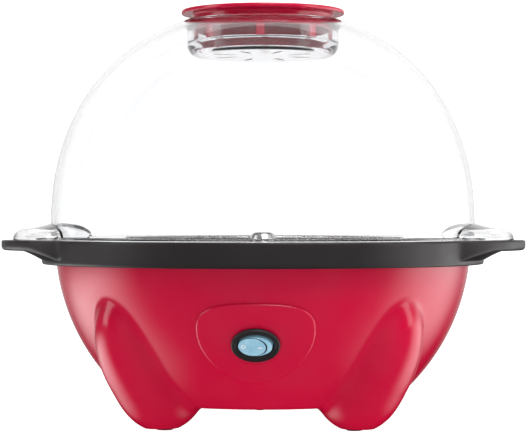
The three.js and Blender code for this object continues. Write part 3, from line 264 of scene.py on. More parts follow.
def housing_distance(p):
    """Distance to the base's outside: a spheroid cut flat below, blended with four lobes, each the blend
    of a leaning egg and the ball of a foot, and cut off at the soles."""
    x, y, z = p.T
    bowl = spheroid(x, y, z - BOWL_CENTRE, BOWL_RADIUS, BOWL_RADIUS, BOWL_HEIGHT)
    body = -smooth_min(-bowl, z - UNDERSIDE, 2.5)
    for angle in FOOT_ANGLES:
        out = x * math.cos(angle) + y * math.sin(angle)
        side = y * math.cos(angle) - x * math.sin(angle)
        ball = np.sqrt((out - FOOT_RADIUS) ** 2 + side ** 2 + (z - FOOT_BALL - 0.4) ** 2) - FOOT_BALL
        lean, up = out - FOOT_RADIUS - LOBE_OUT, z - LOBE_UP
        along = lean * math.sin(LOBE_LEAN) + up * math.cos(LOBE_LEAN)
        through = lean * math.cos(LOBE_LEAN) - up * math.sin(LOBE_LEAN)
        lobe = spheroid(along, side, through, LOBE_LENGTH, LOBE_WIDTH, LOBE_WIDTH)
        body = smooth_min(body, smooth_min(ball, lobe, 10.0), 4.0)
    return np.maximum(body, FOOT_SOLE - z)


def housing_surface(name, offset, around, rings):
    """Closed surface a set distance from the housing's outside, found by stepping inwards along rays from
    the bowl's centre. Azimuth and polar angle are the two parameters; the columns crowd at the feet."""
    u = 2 * math.pi * np.arange(around) / around
    azimuth = u + 0.25 * np.sin(4 * u) / 4
    tilt = np.radians(np.linspace(24, 90, rings))
    a, t = [g.ravel() for g in np.meshgrid(azimuth, tilt, indexing="ij")]
    rays = np.stack([np.sin(t) * np.cos(a), np.sin(t) * np.sin(a), -np.cos(t)], 1)
    reach = np.full(len(rays), 1.3 * BOWL_RADIUS)
    centre = np.array([0, 0, BOWL_CENTRE])
    for _ in range(60):
        reach -= 0.9 * (housing_distance(centre + rays * reach[:, None]) - offset)
    grid = (centre + rays * reach[:, None]).reshape(around, rings, 3)
    low = np.broadcast_to([0, 0, UNDERSIDE - offset], (around, 1, 3))
    high = np.broadcast_to(centre, (around, 1, 3))
    return closed(grid_mesh(name, np.concatenate([low, grid, high], 1), wrap_u=True))


def closed(mesh):
    """The mesh with its doubled points merged and its faces turned outwards."""
    work = bmesh.new()
    work.from_mesh(mesh)
    bmesh.ops.remove_doubles(work, verts=work.verts, dist=1e-6)
    bmesh.ops.dissolve_degenerate(work, edges=work.edges, dist=1e-7)
    bmesh.ops.recalc_face_normals(work, faces=work.faces)
    work.to_mesh(mesh)
    work.free()
    return mesh


def turned(name, outline, around=128):
    """Closed ring or solid: an outline of (radius, height), closed on itself, carried round the Z axis."""
    a = 2 * math.pi * np.arange(around) / around
    r, z = np.asarray(outline, float).T
    level = np.broadcast_to(z, (around, len(z)))
    grid = np.stack([r[None] * np.cos(a)[:, None], r[None] * np.sin(a)[:, None], level], -1)
    return closed(grid_mesh(name, grid, wrap_u=True, wrap_v=True))


def ring(name, inside, outside, low, high, around=256):
    """Square-cornered ring about the Z axis."""
    return turned(name, [[inside, low], [outside, low], [outside, high], [inside, high]], around)


def rounded(corners, radius, steps=4):
    """Closed outline with each corner cut back by its radius, or less on short sides, and rounded by the
    curve (1-t)^2 A + 2t(1-t) C + t^2 B between the two cuts A and B of the corner C. A point on each side
    of the curve keeps the straight stretches flat in the shading."""
    c = np.asarray(corners, float)
    t = np.linspace(0, 1, steps + 1)[:, None]
    points = []
    for k, r in enumerate(np.broadcast_to(radius, len(c))):
        if r == 0:
            points.append(c[k:k + 1])
            continue
        sides = [c[k - 1] - c[k], c[(k + 1) % len(c)] - c[k]]
        shares = [r / max(np.linalg.norm(side), 1e-9) for side in sides]
        a, b = [c[k] + side * min(share, 0.45) for side, share in zip(sides, shares)]
        first, last = [c[k] + side * min(1.8 * share, 0.48) for side, share in zip(sides, shares)]
        points += [first[None], (1 - t) ** 2 * a + 2 * t * (1 - t) * c[k] + t ** 2 * b, last[None]]
    return np.concatenate(points)


def combine(mesh, other, operation):
    """Result of a boolean between two closed meshes, as a new mesh in place of the first."""
    first, second = link("work_a", mesh), link("work_b", other)
    step = first.modifiers.new("combine", "BOOLEAN")
    step.operation = operation
    step.solver = "MANIFOLD"
    step.object = second
    bpy.context.view_layer.update()
    result = bpy.data.meshes.new_from_object(first.evaluated_get(bpy.context.evaluated_depsgraph_get()))
    for piece in (first, second):
        bpy.data.objects.remove(piece)
    result.name = mesh.name
    return result


def placed(mesh, matrix):
    """The mesh moved by a 4 x 4 matrix in millimetres."""
    scaled = np.array(matrix, float)
    scaled[:3, 3] *= MM
    co = np.empty(len(mesh.vertices) * 3, np.float32)
    mesh.vertices.foreach_get("co", co)
    co = co.reshape(-1, 3) @ scaled[:3, :3].T + scaled[:3, 3]
    mesh.vertices.foreach_set("co", co.astype(np.float32).ravel())
    mesh.update()
    return mesh


def moved(x, y, z=0.0):
    """Matrix of a shift."""
    matrix = np.eye(4)
    matrix[:3, 3] = (x, y, z)
    return matrix


def on_circle(radius, angle):
    """Matrix of a shift to a place on a circle about the Z axis."""
    return moved(radius * math.cos(angle), radius * math.sin(angle))


def spun(angle):
    """Matrix of a turn about the Z axis."""
    c, s = math.cos(angle), math.sin(angle)
    return np.array([[c, -s, 0, 0], [s, c, 0, 0], [0, 0, 1, 0], [0, 0, 0, 1]])


def bowl_radius(z):
    """Outside radius of the bowl at a height."""
    return BOWL_RADIUS * np.sqrt(1 - ((BOWL_CENTRE - z) / BOWL_HEIGHT) ** 2)


def wall_place(z, turn, raised):
    """Matrix of a place on the bowl's outside: local Z out of the wall, local X level, turned about the
    axis from the front, and raised along the wall's normal."""
    r = bowl_radius(z)
    down = math.atan2((BOWL_CENTRE - z) / BOWL_HEIGHT ** 2, r / BOWL_RADIUS ** 2)
    c, s = math.cos(math.pi / 2 + down), math.sin(math.pi / 2 + down)
    tip = np.array([[1, 0, 0, 0], [0, c, -s, -r], [0, s, c, z], [0, 0, 0, 1]])
    return spun(turn) @ tip @ moved(0, 0, raised)


SEAT_DEPTH = 0.75
SEAT_HALF, WINDOW_HALF = (13.65, 12.2), (11.25, 8.2)
GLAND_SEAT, GLAND_HOLE = 14.5, 8
SWITCH_PLACE = wall_place(50.7, 0.0, PAD_HEIGHT - SEAT_DEPTH)
GLAND_PLACE = wall_place(34.0, math.pi, -0.9)


def shield_pad(name):
    """Raised shield: a polar grid about its middle, its outline |x|^p + |z|^p = 1 with p of 3 above and
    1.8 below, laid on the bowl and lifted by a rounded step at the edge."""
    rings, around, sunk = 40, 240, 1.5
    a = 2 * math.pi * np.arange(around) / around
    power = np.where(np.sin(a) > 0, 3.0, 1.8)
    reach = (np.abs(np.cos(a)) ** power + np.abs(np.sin(a)) ** power) ** (-1 / power)
    half_height = np.where(np.sin(a) > 0, PAD_UP, PAD_DOWN)
    edge = np.stack([PAD_WIDTH * np.cos(a) * reach, half_height * np.sin(a) * reach], 1)
    bevel = PAD_BEVEL * (1 - np.cos(np.linspace(0, 1, 12) * math.pi / 2))
    face = PAD_BEVEL + (1 - np.linspace(0, 1, rings) ** 1.2)[::-1] * 100
    inset = np.concatenate([np.zeros(1), bevel, face]).clip(0)
    share = np.clip(1 - inset[None, :] / np.linalg.norm(edge, axis=1)[:, None], 0, 1)
    share[:, -1] = 0
    level = edge[:, None, :] * share[..., None]
    step = np.clip(inset / PAD_BEVEL, 0, 1)
    lift = np.concatenate([[-sunk], PAD_HEIGHT * np.sqrt(1 - (1 - step[1:]) ** 2)])
    x, z = level[..., 0], PAD_MIDDLE + level[..., 1]
    front = -np.sqrt(np.maximum(bowl_radius(z) ** 2 - x ** 2, 1))
    normal = np.stack([x / BOWL_RADIUS ** 2, front / BOWL_RADIUS ** 2,
                       (z - BOWL_CENTRE) / BOWL_HEIGHT ** 2], -1)
    normal /= np.linalg.norm(normal, axis=-1, keepdims=True)
    wall = np.stack([x, front, z], -1)
    top = wall + normal * lift[None, :, None]
    under = (wall - normal * sunk)[:, ::-1]
    return closed(grid_mesh(name, np.concatenate([top, under[:, 1:-1]], 1), wrap_u=True, wrap_v=True))


def oval_block(name, half_x, half_y, low, high, around=96):
    """Oval cylinder about local Z."""
    a = 2 * math.pi * np.arange(around) / around
    oval = np.stack([half_x * np.cos(a), half_y * np.sin(a)], -1)
    rows = [np.zeros_like(oval), oval, oval, np.zeros_like(oval)]
    grid = np.stack([np.concatenate([row, np.full((around, 1), level)], 1)
                     for row, level in zip(rows, (low, low, high, high))], 1)
    return closed(grid_mesh(name, grid, wrap_u=True))


cover_high = node_box("bottom_cover")[1]
COVER_SEAT = cover_high[0] + 0.3
COVER_TOP = cover_high[2]
COVER_LAND = 6.5
housing = housing_surface("housing", 0.0, 400, 170)
housing = combine(housing, shield_pad("pad"), "UNION")
housing = combine(housing, housing_surface("inside", -HOUSING_WALL, 160, 60), "DIFFERENCE")
seat_ring = ring("seat_ring", COVER_SEAT - COVER_LAND, COVER_SEAT + HOUSING_WALL,
                 UNDERSIDE + 0.1, COVER_TOP + 2.8, 128)
housing = combine(housing, seat_ring, "UNION")
for angle in FOOT_ANGLES:
    boss = oval_block("boss", 8, 8, FOOT_SOLE + 0.6, 6, 48)
    housing = combine(housing, placed(boss, on_circle(FOOT_RADIUS, angle)), "UNION")
cuts = [
    oval_block("top", 200, 200, HOUSING_TOP, BOWL_CENTRE + 5),
    oval_block("opening", COVER_SEAT - COVER_LAND, COVER_SEAT - COVER_LAND,
               UNDERSIDE - 1, COVER_TOP + 6, 128),
    oval_block("recess", COVER_SEAT, COVER_SEAT, UNDERSIDE - 1, COVER_TOP + 0.3, 128),
    placed(oval_block("seat", *SEAT_HALF, 0, 6), SWITCH_PLACE),
    placed(oval_block("window", *WINDOW_HALF, -12, 4), SWITCH_PLACE),
    placed(oval_block("gland_seat", GLAND_SEAT, GLAND_SEAT, 0, 6), GLAND_PLACE),
    placed(oval_block("gland_hole", GLAND_HOLE, GLAND_HOLE, -12, 4), GLAND_PLACE),
]
for angle in FOOT_ANGLES:
    recess = oval_block("foot_recess", FOOT_RECESS, FOOT_RECESS, -1, 3.3, 48)
    cuts.append(placed(recess, on_circle(FOOT_RADIUS, angle)))
for cutter in cuts:
    housing = combine(housing, cutter, "DIFFERENCE")


def add_noise(tree, scale, detail=3.0, squeeze=(1, 1, 1)):
    """Noise texture on Object coordinates, in cells per metre."""
    place = tree.nodes.new("ShaderNodeTexCoord")
    mapping = tree.nodes.new("ShaderNodeMapping")
    mapping.inputs["Scale"].default_value = squeeze
    noise = tree.nodes.new("ShaderNodeTexNoise")
    noise.inputs["Scale"].default_value = scale
    noise.inputs["Detail"].default_value = detail
    tree.links.new(place.outputs["Object"], mapping.inputs["Vector"])
    tree.links.new(mapping.outputs["Vector"], noise.inputs["Vector"])
    return noise


def vary_roughness(tree, shader, noise, low, high):
    """Drives the roughness between two values by a noise."""
    spread = tree.nodes.new("ShaderNodeMapRange")
    spread.inputs["From Min"].default_value = 0.3
    spread.inputs["From Max"].default_value = 0.7
    spread.inputs["To Min"].default_value = low
    spread.inputs["To Max"].default_value = high
    tree.links.new(noise.outputs["Fac"], spread.inputs["Value"])
    tree.links.new(spread.outputs["Result"], shader.inputs["Roughness"])


def add_bump(tree, shader, noise, strength, depth):
    """Bump from a noise, `depth` in millimetres."""
    bump = tree.nodes.new("ShaderNodeBump")
    bump.inputs["Strength"].default_value = strength
    bump.inputs["Distance"].default_value = depth * MM
    tree.links.new(noise.outputs["Fac"], bump.inputs["Height"])
    tree.links.new(bump.outputs["Normal"], shader.inputs["Normal"])


def vary_color(tree, shader, noise, first, second):
    """Drives the base colour between two colours by a noise."""
    blend = tree.nodes.new("ShaderNodeValToRGB")
    for element, position, color in zip(blend.color_ramp.elements, (0.3, 0.7), (first, second)):
        element.position = position
        element.color = (*color, 1)
    tree.links.new(noise.outputs["Fac"], blend.inputs["Fac"])
    tree.links.new(blend.outputs["Color"], shader.inputs["Base Color"])


red_gloss, red_tree, red_shader = plain_material("red_gloss_moulding", (0.56, 0.001, 0.038), 0.2)
vary_color(red_tree, red_shader, add_noise(red_tree, 9.0), (0.555, 0.001, 0.037), (0.575, 0.0012, 0.04))
vary_roughness(red_tree, red_shader, add_noise(red_tree, 60.0), 0.17, 0.24)
add_bump(red_tree, red_shader, add_noise(red_tree, 45.0, 1.0), 0.25, 0.12)


def show(mesh, body, material, *nodes, slot=None, sharp=32):
    """Makes a piece of a mesh: smooth with sharp edges kept, riding a body, in place of CAD nodes."""
    mesh.polygons.foreach_set("use_smooth", np.full(len(mesh.polygons), True))
    mesh.materials.clear()
    piece = link(mesh.name, mesh, material)
    if sharp:
        mesh.set_sharp_from_angle(angle=math.radians(sharp))
    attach(piece, body)
    if nodes:
        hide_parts(*nodes)
    return piece


housing.name = "housing_shell"
show(housing, "base", red_gloss, "base_housing", slot="red_plastic", sharp=28)


# ------------------------------------------------------------ rim ring and handles
# One black phenolic moulding: a ring with a hanging skirt that hides the bowl's edge, a ledge inside for
# the plate, and a flat ear at each side to lift the appliance by. It is screwed to the bowl from below.
HANDLE_REACH = rim_high[0] - RIM_RADIUS
HANDLE_CURVE, HANDLE_FILLET = 71, 10
HANDLE_UNDER = RIM_TOP - 5.7
HANDLE_FLAT, HANDLE_HOLLOW, HANDLE_DROP = 12, 11.5, 5.3
REBATE = RIM_TOP - 2
DOME_RADIUS = RIM_RADIUS - 5
SEAT_RADIUS = DOME_RADIUS - 6.5
LEDGE_RADIUS = SEAT_RADIUS - 11.5
SKIRT_END = RIM_TOP - 13.5
SKIRT_INSIDE = RIM_RADIUS - 2.6
COLLAR_END = RIM_TOP - 12.5
COLLAR_INSIDE = DOME_RADIUS - 1.8
LEDGE_TOP, LEDGE_UNDER = REBATE - 2.3, REBATE - 4.8
POST_CIRCLE = BOWL_RADIUS - 10.8
POST_RADIUS, SCREW_BORE = 3.6, 1.9


def ear_plan(wall, reach, curve, fillet, rows=96):
    """Rows across an ear, along Y: a large arc at the tip that fillets run into the round wall. Returns Y,
    the X where the row starts inside the wall, and the X of the ear's edge."""
    centre = wall + reach - curve
    a, b = wall + fillet, curve + fillet
    x = (a * a - b * b + centre * centre) / (2 * centre)
    y = math.sqrt(a * a - x * x)
    tip_end = y * curve / b
    wall_end = y * wall / a
    across = wall_end * np.sin(np.linspace(-1, 1, rows) * math.pi / 2)
    far = np.abs(across)
    edge = np.where(far < tip_end, centre + np.sqrt(np.maximum(curve ** 2 - across ** 2, 0)),
                    x - np.sqrt(np.maximum(fillet ** 2 - (far - y) ** 2, 0)))
    return across, np.sqrt((wall - 7) ** 2 - across ** 2), edge


def ear_solid(name, side, plan, top, under, top_round, under_round, columns=30):
    """Closed ear: along each row the upper face runs out to the edge, round it and back below. `top` and
    `under` give the two heights over the distance from the axis and over Y; the edges are quarter
    ellipses."""
    turn = np.linspace(0, math.pi / 2, 7)[1:]
    share = np.linspace(0, 1, columns)
    grid = []
    for y, x0, x1 in zip(*plan):
        span = x1 - x0
        tr, ur = min(top_round[0], 0.6 * span), min(under_round[0], 0.6 * span)
        upper = x0 + (span - tr) * share
        lower = x0 + (span - ur) * share
        bend_up, bend_down = x1 - tr + tr * np.sin(turn), x1 - ur + ur * np.sin(turn)
        drop = top_round[1] * (1 - np.cos(turn))
        rise = under_round[1] * (1 - np.cos(turn))
        xs = np.concatenate([upper, bend_up, bend_down[::-1], lower[::-1]])
        high = np.concatenate([top(np.hypot(upper, y), y), top(np.hypot(bend_up, y), y) - drop])
        low = np.concatenate([under(np.hypot(lower, y), y), under(np.hypot(bend_down, y), y) + rise])
        high = np.maximum(high, low + 0.02)
        grid.append(np.stack([side * xs, np.full_like(xs, y), np.concatenate([high, low[::-1]])], -1))
    grid = np.array(grid)
    ends = [np.broadcast_to(row.mean(0), (1, *row.shape)) for row in (grid[0], grid[-1])]
    return closed(grid_mesh(name, np.concatenate([ends[0], grid, ends[1]]), wrap_v=True))


def handle_top(r, y):
    """The handle's upper face lies a hair below the ring's."""
    return np.full_like(r, RIM_TOP - 0.05)


def handle_under(r, y):
    """Flat under the fingers, then sloping down to the ring as the 1.25th power of the distance."""
    start = RIM_RADIUS + HANDLE_REACH - HANDLE_FLAT
    return HANDLE_UNDER - HANDLE_DROP * np.clip((start - r) / HANDLE_HOLLOW, 0, 1) ** 1.25


rim = turned("rim", rounded([
    [RIM_RADIUS, SKIRT_END], [RIM_RADIUS, RIM_TOP], [DOME_RADIUS + 0.6, RIM_TOP], [DOME_RADIUS + 0.6, REBATE],
    [SEAT_RADIUS, REBATE], [SEAT_RADIUS, LEDGE_TOP], [LEDGE_RADIUS, LEDGE_TOP], [LEDGE_RADIUS, LEDGE_UNDER],
    [SEAT_RADIUS - 2.5, LEDGE_UNDER], [SEAT_RADIUS - 2.5, REBATE - 2.5], [COLLAR_INSIDE, REBATE - 2.5],
    [COLLAR_INSIDE, COLLAR_END], [DOME_RADIUS, COLLAR_END], [DOME_RADIUS, REBATE - 2],
    [SKIRT_INSIDE, REBATE - 2], [SKIRT_INSIDE, SKIRT_END]],
    [1.6, 1.1, 0.5, 0.3, 0.5, 0.3, 0.5, 0.5, 0.2, 0.2, 0.2, 0.3, 0.3, 0.3, 0.4, 0.8]), 256)
handle_plan = ear_plan(RIM_RADIUS, HANDLE_REACH, HANDLE_CURVE, HANDLE_FILLET)
for side in (1, -1):
    handle = ear_solid("handle", side, handle_plan, handle_top, handle_under, (0.9, 0.9), (2.2, 2.6))
    handle = combine(handle, ring("trim", 100, RIM_RADIUS - 1.5, 80, 110), "DIFFERENCE")
    rim = combine(rim, handle, "UNION")
for k in range(4):
    place = on_circle(POST_CIRCLE, math.radians(22.5 + 90 * k))
    post = oval_block("post", POST_RADIUS, POST_RADIUS, RIM_TOP - 20.2, REBATE - 4, 32)
    rim = combine(rim, placed(post, place), "UNION")
    bore = oval_block("bore", SCREW_BORE, SCREW_BORE, RIM_TOP - 22, REBATE - 7.8, 24)
    rim = combine(rim, placed(bore, place), "DIFFERENCE")
rim.name = "rim_moulding"

black_satin, black_tree, black_shader = plain_material("black_phenolic", (0.022, 0.017, 0.0185), 0.4,
                                                       specular=0.33)
vary_color(black_tree, black_shader, add_noise(black_tree, 30.0), (0.020, 0.0165, 0.0175),
           (0.024, 0.020, 0.021))
vary_roughness(black_tree, black_shader, add_noise(black_tree, 80.0), 0.34, 0.46)
add_bump(black_tree, black_shader, add_noise(black_tree, 1400.0, 2.0), 0.2, 0.02)
show(rim, "base", black_satin, "rim_ring", slot="black_plastic", sharp=35)


# ------------------------------------------------------------ clear dome with its butter well
# Polycarbonate, injection moulded in one piece 2.5 mm thick: half a ball with a short upright foot, a
# bead that sits on the ring, two hollow ears over the handles, and a slotted well sunk in the crown. It
# lifts off and is turned over to serve as the bowl.
dome_low, dome_high = node_box("dome")
well_low, well_high = node_box("butter_well")
DOME_WALL = 2.5
DOME_POWER = 2.2
DOME_EDGE = RIM_TOP + 0.3
DOME_BASE = RIM_TOP + 8
BEAD_REACH, BEAD_HEIGHT = 2.4, 1.3
CROWN_TOP = well_high[2]
CROWN_LIP = 0.8
WELL_RADIUS = 41.0
CROWN_RADIUS = WELL_RADIUS + 5
CROWN_SHARE = (1 - (CROWN_RADIUS / DOME_RADIUS) ** DOME_POWER) ** (1 / DOME_POWER)
DOME_HEIGHT = (CROWN_TOP - CROWN_LIP - DOME_BASE) / CROWN_SHARE
WELL_FLOOR = well_low[2] + DOME_WALL
WELL_LEDGE = WELL_FLOOR + 4.7
WELL_STEP = WELL_RADIUS - 2.5
WELL_OUTSIDE = WELL_RADIUS + DOME_WALL
WELL_SLOTS = 8
SLOT_HALF, SLOT_INSET = (7, 1.3), 18
EAR_REACH = dome_high[0] - DOME_RADIUS
EAR_CURVE, EAR_FILLET = 66, 10
EAR_HEIGHT, EAR_CLIMB = 6.2, 3.0
EAR_HALF_WIDTH, EAR_ROUND = 56, 7.4


def dome_arc(radius, height, first, last, steps):
    """Part of the dome's curve r^p + z^p = 1, between two distances from the axis."""
    ends = [math.acos(min(1, r / radius) ** (DOME_POWER / 2)) for r in (first, last)]
    a = np.linspace(*ends, steps)
    c, s = [np.maximum(v, 0) ** (2 / DOME_POWER) for v in (np.cos(a), np.sin(a))]
    return np.stack([radius * c, DOME_BASE + height * s], -1)


def ear_top(lowered, half_width):
    """Height of a dome ear's upper face: it climbs 3 mm to the wall over the last 15, and across the ear
    it is an arch, h^3 + (y / half_width)^3 = 1."""
    def height(r, y):
        climb = np.clip((DOME_RADIUS + EAR_REACH - EAR_ROUND - r) / 14.5, 0, 1)
        arch = max(1 - abs(y / half_width) ** 3, 0) ** (1 / 3)
        return DOME_EDGE + (EAR_HEIGHT - lowered + EAR_CLIMB * climb ** 1.5) * arch
    return height


def flat(level):
    """A level face."""
    return lambda r, y: np.full_like(r, level)


inner = DOME_RADIUS - DOME_WALL
foot = rounded([
    [inner, DOME_EDGE + 1], [inner, dome_low[2]], [DOME_RADIUS, dome_low[2]], [DOME_RADIUS, DOME_EDGE],
    [DOME_RADIUS + BEAD_REACH, DOME_EDGE], [DOME_RADIUS + BEAD_REACH, DOME_EDGE + BEAD_HEIGHT],
    [DOME_RADIUS, DOME_EDGE + BEAD_HEIGHT], [DOME_RADIUS, DOME_BASE - 1]],
    [0, 0.2, 0.2, 0.1, 0.15, 0.15, 0.2, 0])
well = rounded([
    [CROWN_RADIUS, CROWN_TOP - CROWN_LIP], [CROWN_RADIUS - 1.6, CROWN_TOP],
    [WELL_RADIUS + 0.4, CROWN_TOP - 0.2], [WELL_RADIUS, CROWN_TOP - 2.5], [WELL_RADIUS, WELL_LEDGE],
    [WELL_STEP, WELL_LEDGE], [WELL_STEP, WELL_FLOOR], [0, WELL_FLOOR], [0, WELL_FLOOR - DOME_WALL],
    [WELL_STEP + DOME_WALL, WELL_FLOOR - DOME_WALL],
    [WELL_OUTSIDE, WELL_LEDGE - DOME_WALL], [WELL_OUTSIDE, CROWN_TOP - 5]],
    [0, 1.2, 1.2, 1.0, 0.5, 0.6, 0.9, 0, 0, 2.0, 1.5, 1.2])
outside_arc = dome_arc(DOME_RADIUS, DOME_HEIGHT, DOME_RADIUS, CROWN_RADIUS, 64)[:-1]
inside_arc = dome_arc(inner, DOME_HEIGHT - DOME_WALL, WELL_OUTSIDE + 0.5, inner, 64)
dome = turned("dome_shell", np.concatenate([foot, outside_arc, well, inside_arc]), 256)
for side in (1, -1):
    outer = ear_solid("ear", side, ear_plan(DOME_RADIUS, EAR_REACH, EAR_CURVE, EAR_FILLET),
                      ear_top(0, EAR_HALF_WIDTH), flat(DOME_EDGE), (EAR_ROUND, 5.4), (0.3, 0.1))
    hollow = ear_solid("hollow", side, ear_plan(DOME_RADIUS, EAR_REACH - 2, EAR_CURVE - 2, EAR_FILLET + 2),
                       ear_top(2.0, EAR_HALF_WIDTH - 2.2), flat(DOME_EDGE - 4), (6.2, 4.0), (0.1, 0.1))
    hollow = combine(hollow, ring("keep", 90, DOME_RADIUS + 0.3, 60, 130), "DIFFERENCE")
    outer = combine(outer, ring("keep", 90, DOME_RADIUS - 1.2, 60, 130), "DIFFERENCE")
    dome = combine(combine(dome, outer, "UNION"), hollow, "DIFFERENCE")
for k in range(WELL_SLOTS):
    slot = oval_block("slot", *SLOT_HALF, WELL_FLOOR - 5, WELL_FLOOR + 1, 32)
    place = spun(2 * math.pi * (k + 0.5) / WELL_SLOTS) @ moved(WELL_RADIUS - SLOT_INSET, 0)
    dome = combine(dome, placed(slot, place), "DIFFERENCE")
dome.name = "dome_moulding"

clear = bpy.data.materials.new("clear_polycarbonate")
clear.use_nodes = True
clear_tree = clear.node_tree
clear_output = clear_tree.nodes["Material Output"]
glass = clear_tree.nodes["Principled BSDF"]
glass.inputs["Base Color"].default_value = (0.985, 0.99, 0.99, 1)
glass.inputs["Transmission Weight"].default_value = 1.0
glass.inputs["Roughness"].default_value = 0.02
glass.inputs["IOR"].default_value = 1.5
light_path = clear_tree.nodes.new("ShaderNodeLightPath")
passing = clear_tree.nodes.new("ShaderNodeBsdfTransparent")
passing.inputs["Color"].default_value = (0.97, 0.97, 0.97, 1)
either = clear_tree.nodes.new("ShaderNodeMixShader")
clear_tree.links.new(light_path.outputs["Is Shadow Ray"], either.inputs["Fac"])
clear_tree.links.new(glass.outputs["BSDF"], either.inputs[1])
clear_tree.links.new(passing.outputs["BSDF"], either.inputs[2])
clear_tree.links.new(either.outputs["Shader"], clear_output.inputs["Surface"])
tint = clear_tree.nodes.new("ShaderNodeVolumeAbsorption")
tint.inputs["Color"].default_value = (0.55, 0.52, 0.58, 1)
tint.inputs["Density"].default_value = 30.0
clear_tree.links.new(tint.outputs["Volume"], clear_output.inputs["Volume"])
add_bump(clear_tree, glass, add_noise(clear_tree, 22.0, 1.0), 0.12, 0.25)
show(dome, "dome_body", clear, "dome", "butter_well", slot="clear_plastic", sharp=32)


# ------------------------------------------------------------ cap
# A red polypropylene lid with an overhanging flange. Its skirt drops into the well and stands there on
# eight short legs, so that steam leaves between them.
cap_low, cap_high = node_box("cap")
CAP_EDGE, CAP_TOP = cap_high[1], cap_high[2]
FLANGE_UNDER = CAP_TOP - 2.4
SKIRT_RADIUS = WELL_RADIUS - 0.9
SKIRT_BORE = SKIRT_RADIUS - 2.2
SKIRT_BOTTOM = FLANGE_UNDER - 8.9
CAP_LEGS = 8


def square_block(name, half_x, half_y, low, high):
    """Rectangular block about the Z axis."""
    corner = np.array([[-half_x, -half_y], [half_x, -half_y], [half_x, half_y], [-half_x, half_y]])
    rows = [np.concatenate([corner * share, np.full((4, 1), level)], 1)
            for share, level in ((0, low), (1, low), (1, high), (0, high))]
    return closed(grid_mesh(name, np.stack(rows, 1), wrap_u=True))


lid = turned("lid", rounded([
    [0, FLANGE_UNDER + 0.6], [SKIRT_BORE, FLANGE_UNDER + 0.6], [SKIRT_BORE, SKIRT_BOTTOM],
    [SKIRT_RADIUS, SKIRT_BOTTOM], [SKIRT_RADIUS, FLANGE_UNDER], [CAP_EDGE, FLANGE_UNDER], [CAP_EDGE, CAP_TOP],
    [0, CAP_TOP]], [0, 0.8, 0.6, 0.5, 1.2, 0.7, 1.2, 0]), 256)
for k in range(CAP_LEGS):
    leg = turned("leg", rounded([
        [SKIRT_BORE, cap_low[2]], [SKIRT_RADIUS, cap_low[2]], [SKIRT_RADIUS, SKIRT_BOTTOM + 1],
        [SKIRT_BORE, SKIRT_BOTTOM + 1]], 0.3), 256)
    block = square_block("block", 8, 2.2, cap_low[2] - 1, SKIRT_BOTTOM + 2)
    place = spun(2 * math.pi * k / CAP_LEGS) @ moved(SKIRT_RADIUS, 0)
    lid = combine(lid, combine(leg, placed(block, place), "INTERSECT"), "UNION")
lid.name = "cap_moulding"
show(lid, "cap_body", red_gloss, "cap", slot="red_plastic", sharp=35)


# ------------------------------------------------------------ heating plate, bush, rod and hub
# An aluminium plate with a dark nonstick coating and a raised flange, a turned steel bush through its
# middle, and a bright bent wire that the hub nut holds down on the shaft and that sweeps round the plate.
plate_low, plate_high = node_box("heating_plate")
PLATE_TOP = plate_high[2] - 1.1
PLATE_BOTTOM = PLATE_TOP - 2.5
PLATE_LIP = plate_high[2] - 1.5
BUSH, BUSH_HEAD, SHAFT_BORE = 5.7, 9.5, 3.8
plate = turned("plate", rounded([
    [BUSH + 0.3, PLATE_BOTTOM], [LEDGE_RADIUS - 1, PLATE_BOTTOM], [LEDGE_RADIUS - 1, PLATE_LIP],
    [plate_high[0], PLATE_LIP], [plate_high[0], plate_high[2]], [LEDGE_RADIUS + 2, plate_high[2]],
    [LEDGE_RADIUS - 2, PLATE_TOP], [BUSH + 0.3, PLATE_TOP]], [0.3, 0.8, 0.3, 0.4, 0.5, 1.6, 1.6, 0.3]), 256)
for angle in (90, 210, 330):
    place = on_circle(60, math.radians(angle))
    post = oval_block("post", 4, 4, plate_low[2], PLATE_BOTTOM + 0.5, 32)
    plate = combine(plate, placed(post, place), "UNION")
    bore = oval_block("bore", SCREW_BORE, SCREW_BORE, plate_low[2] - 1, PLATE_BOTTOM - 2, 24)
    plate = combine(plate, placed(bore, place), "DIFFERENCE")
plate.name = "plate_pressing"
nonstick, nonstick_tree, nonstick_shader = plain_material("nonstick_coating", (0.05, 0.05, 0.053), 0.38, 0.2)
vary_roughness(nonstick_tree, nonstick_shader, add_noise(nonstick_tree, 700.0, 2.0), 0.3, 0.5)
add_bump(nonstick_tree, nonstick_shader, add_noise(nonstick_tree, 2600.0, 2.0), 0.3, 0.02)
show(plate, "base", nonstick, "heating_plate", slot="nonstick")

bright, bright_tree, bright_shader = plain_material("bright_steel", (0.56, 0.555, 0.55), 0.24, 1.0)
vary_roughness(bright_tree, bright_shader, add_noise(bright_tree, 300.0, 3.0, (1, 1, 0.2)), 0.18, 0.34)
bush_low, bush_high = node_box("shaft_bush")
bush = turned("bush_turning", rounded([
    [SHAFT_BORE, bush_low[2]], [BUSH, bush_low[2]], [BUSH, bush_high[2] - 1.4],
    [BUSH_HEAD, bush_high[2] - 1.4], [BUSH_HEAD, bush_high[2]], [SHAFT_BORE, bush_high[2]]],
    [0.2, 0.4, 0.2, 0.3, 0.5, 0.3]), 96)
show(bush, "base", bright, "shaft_bush", slot="bright_steel")

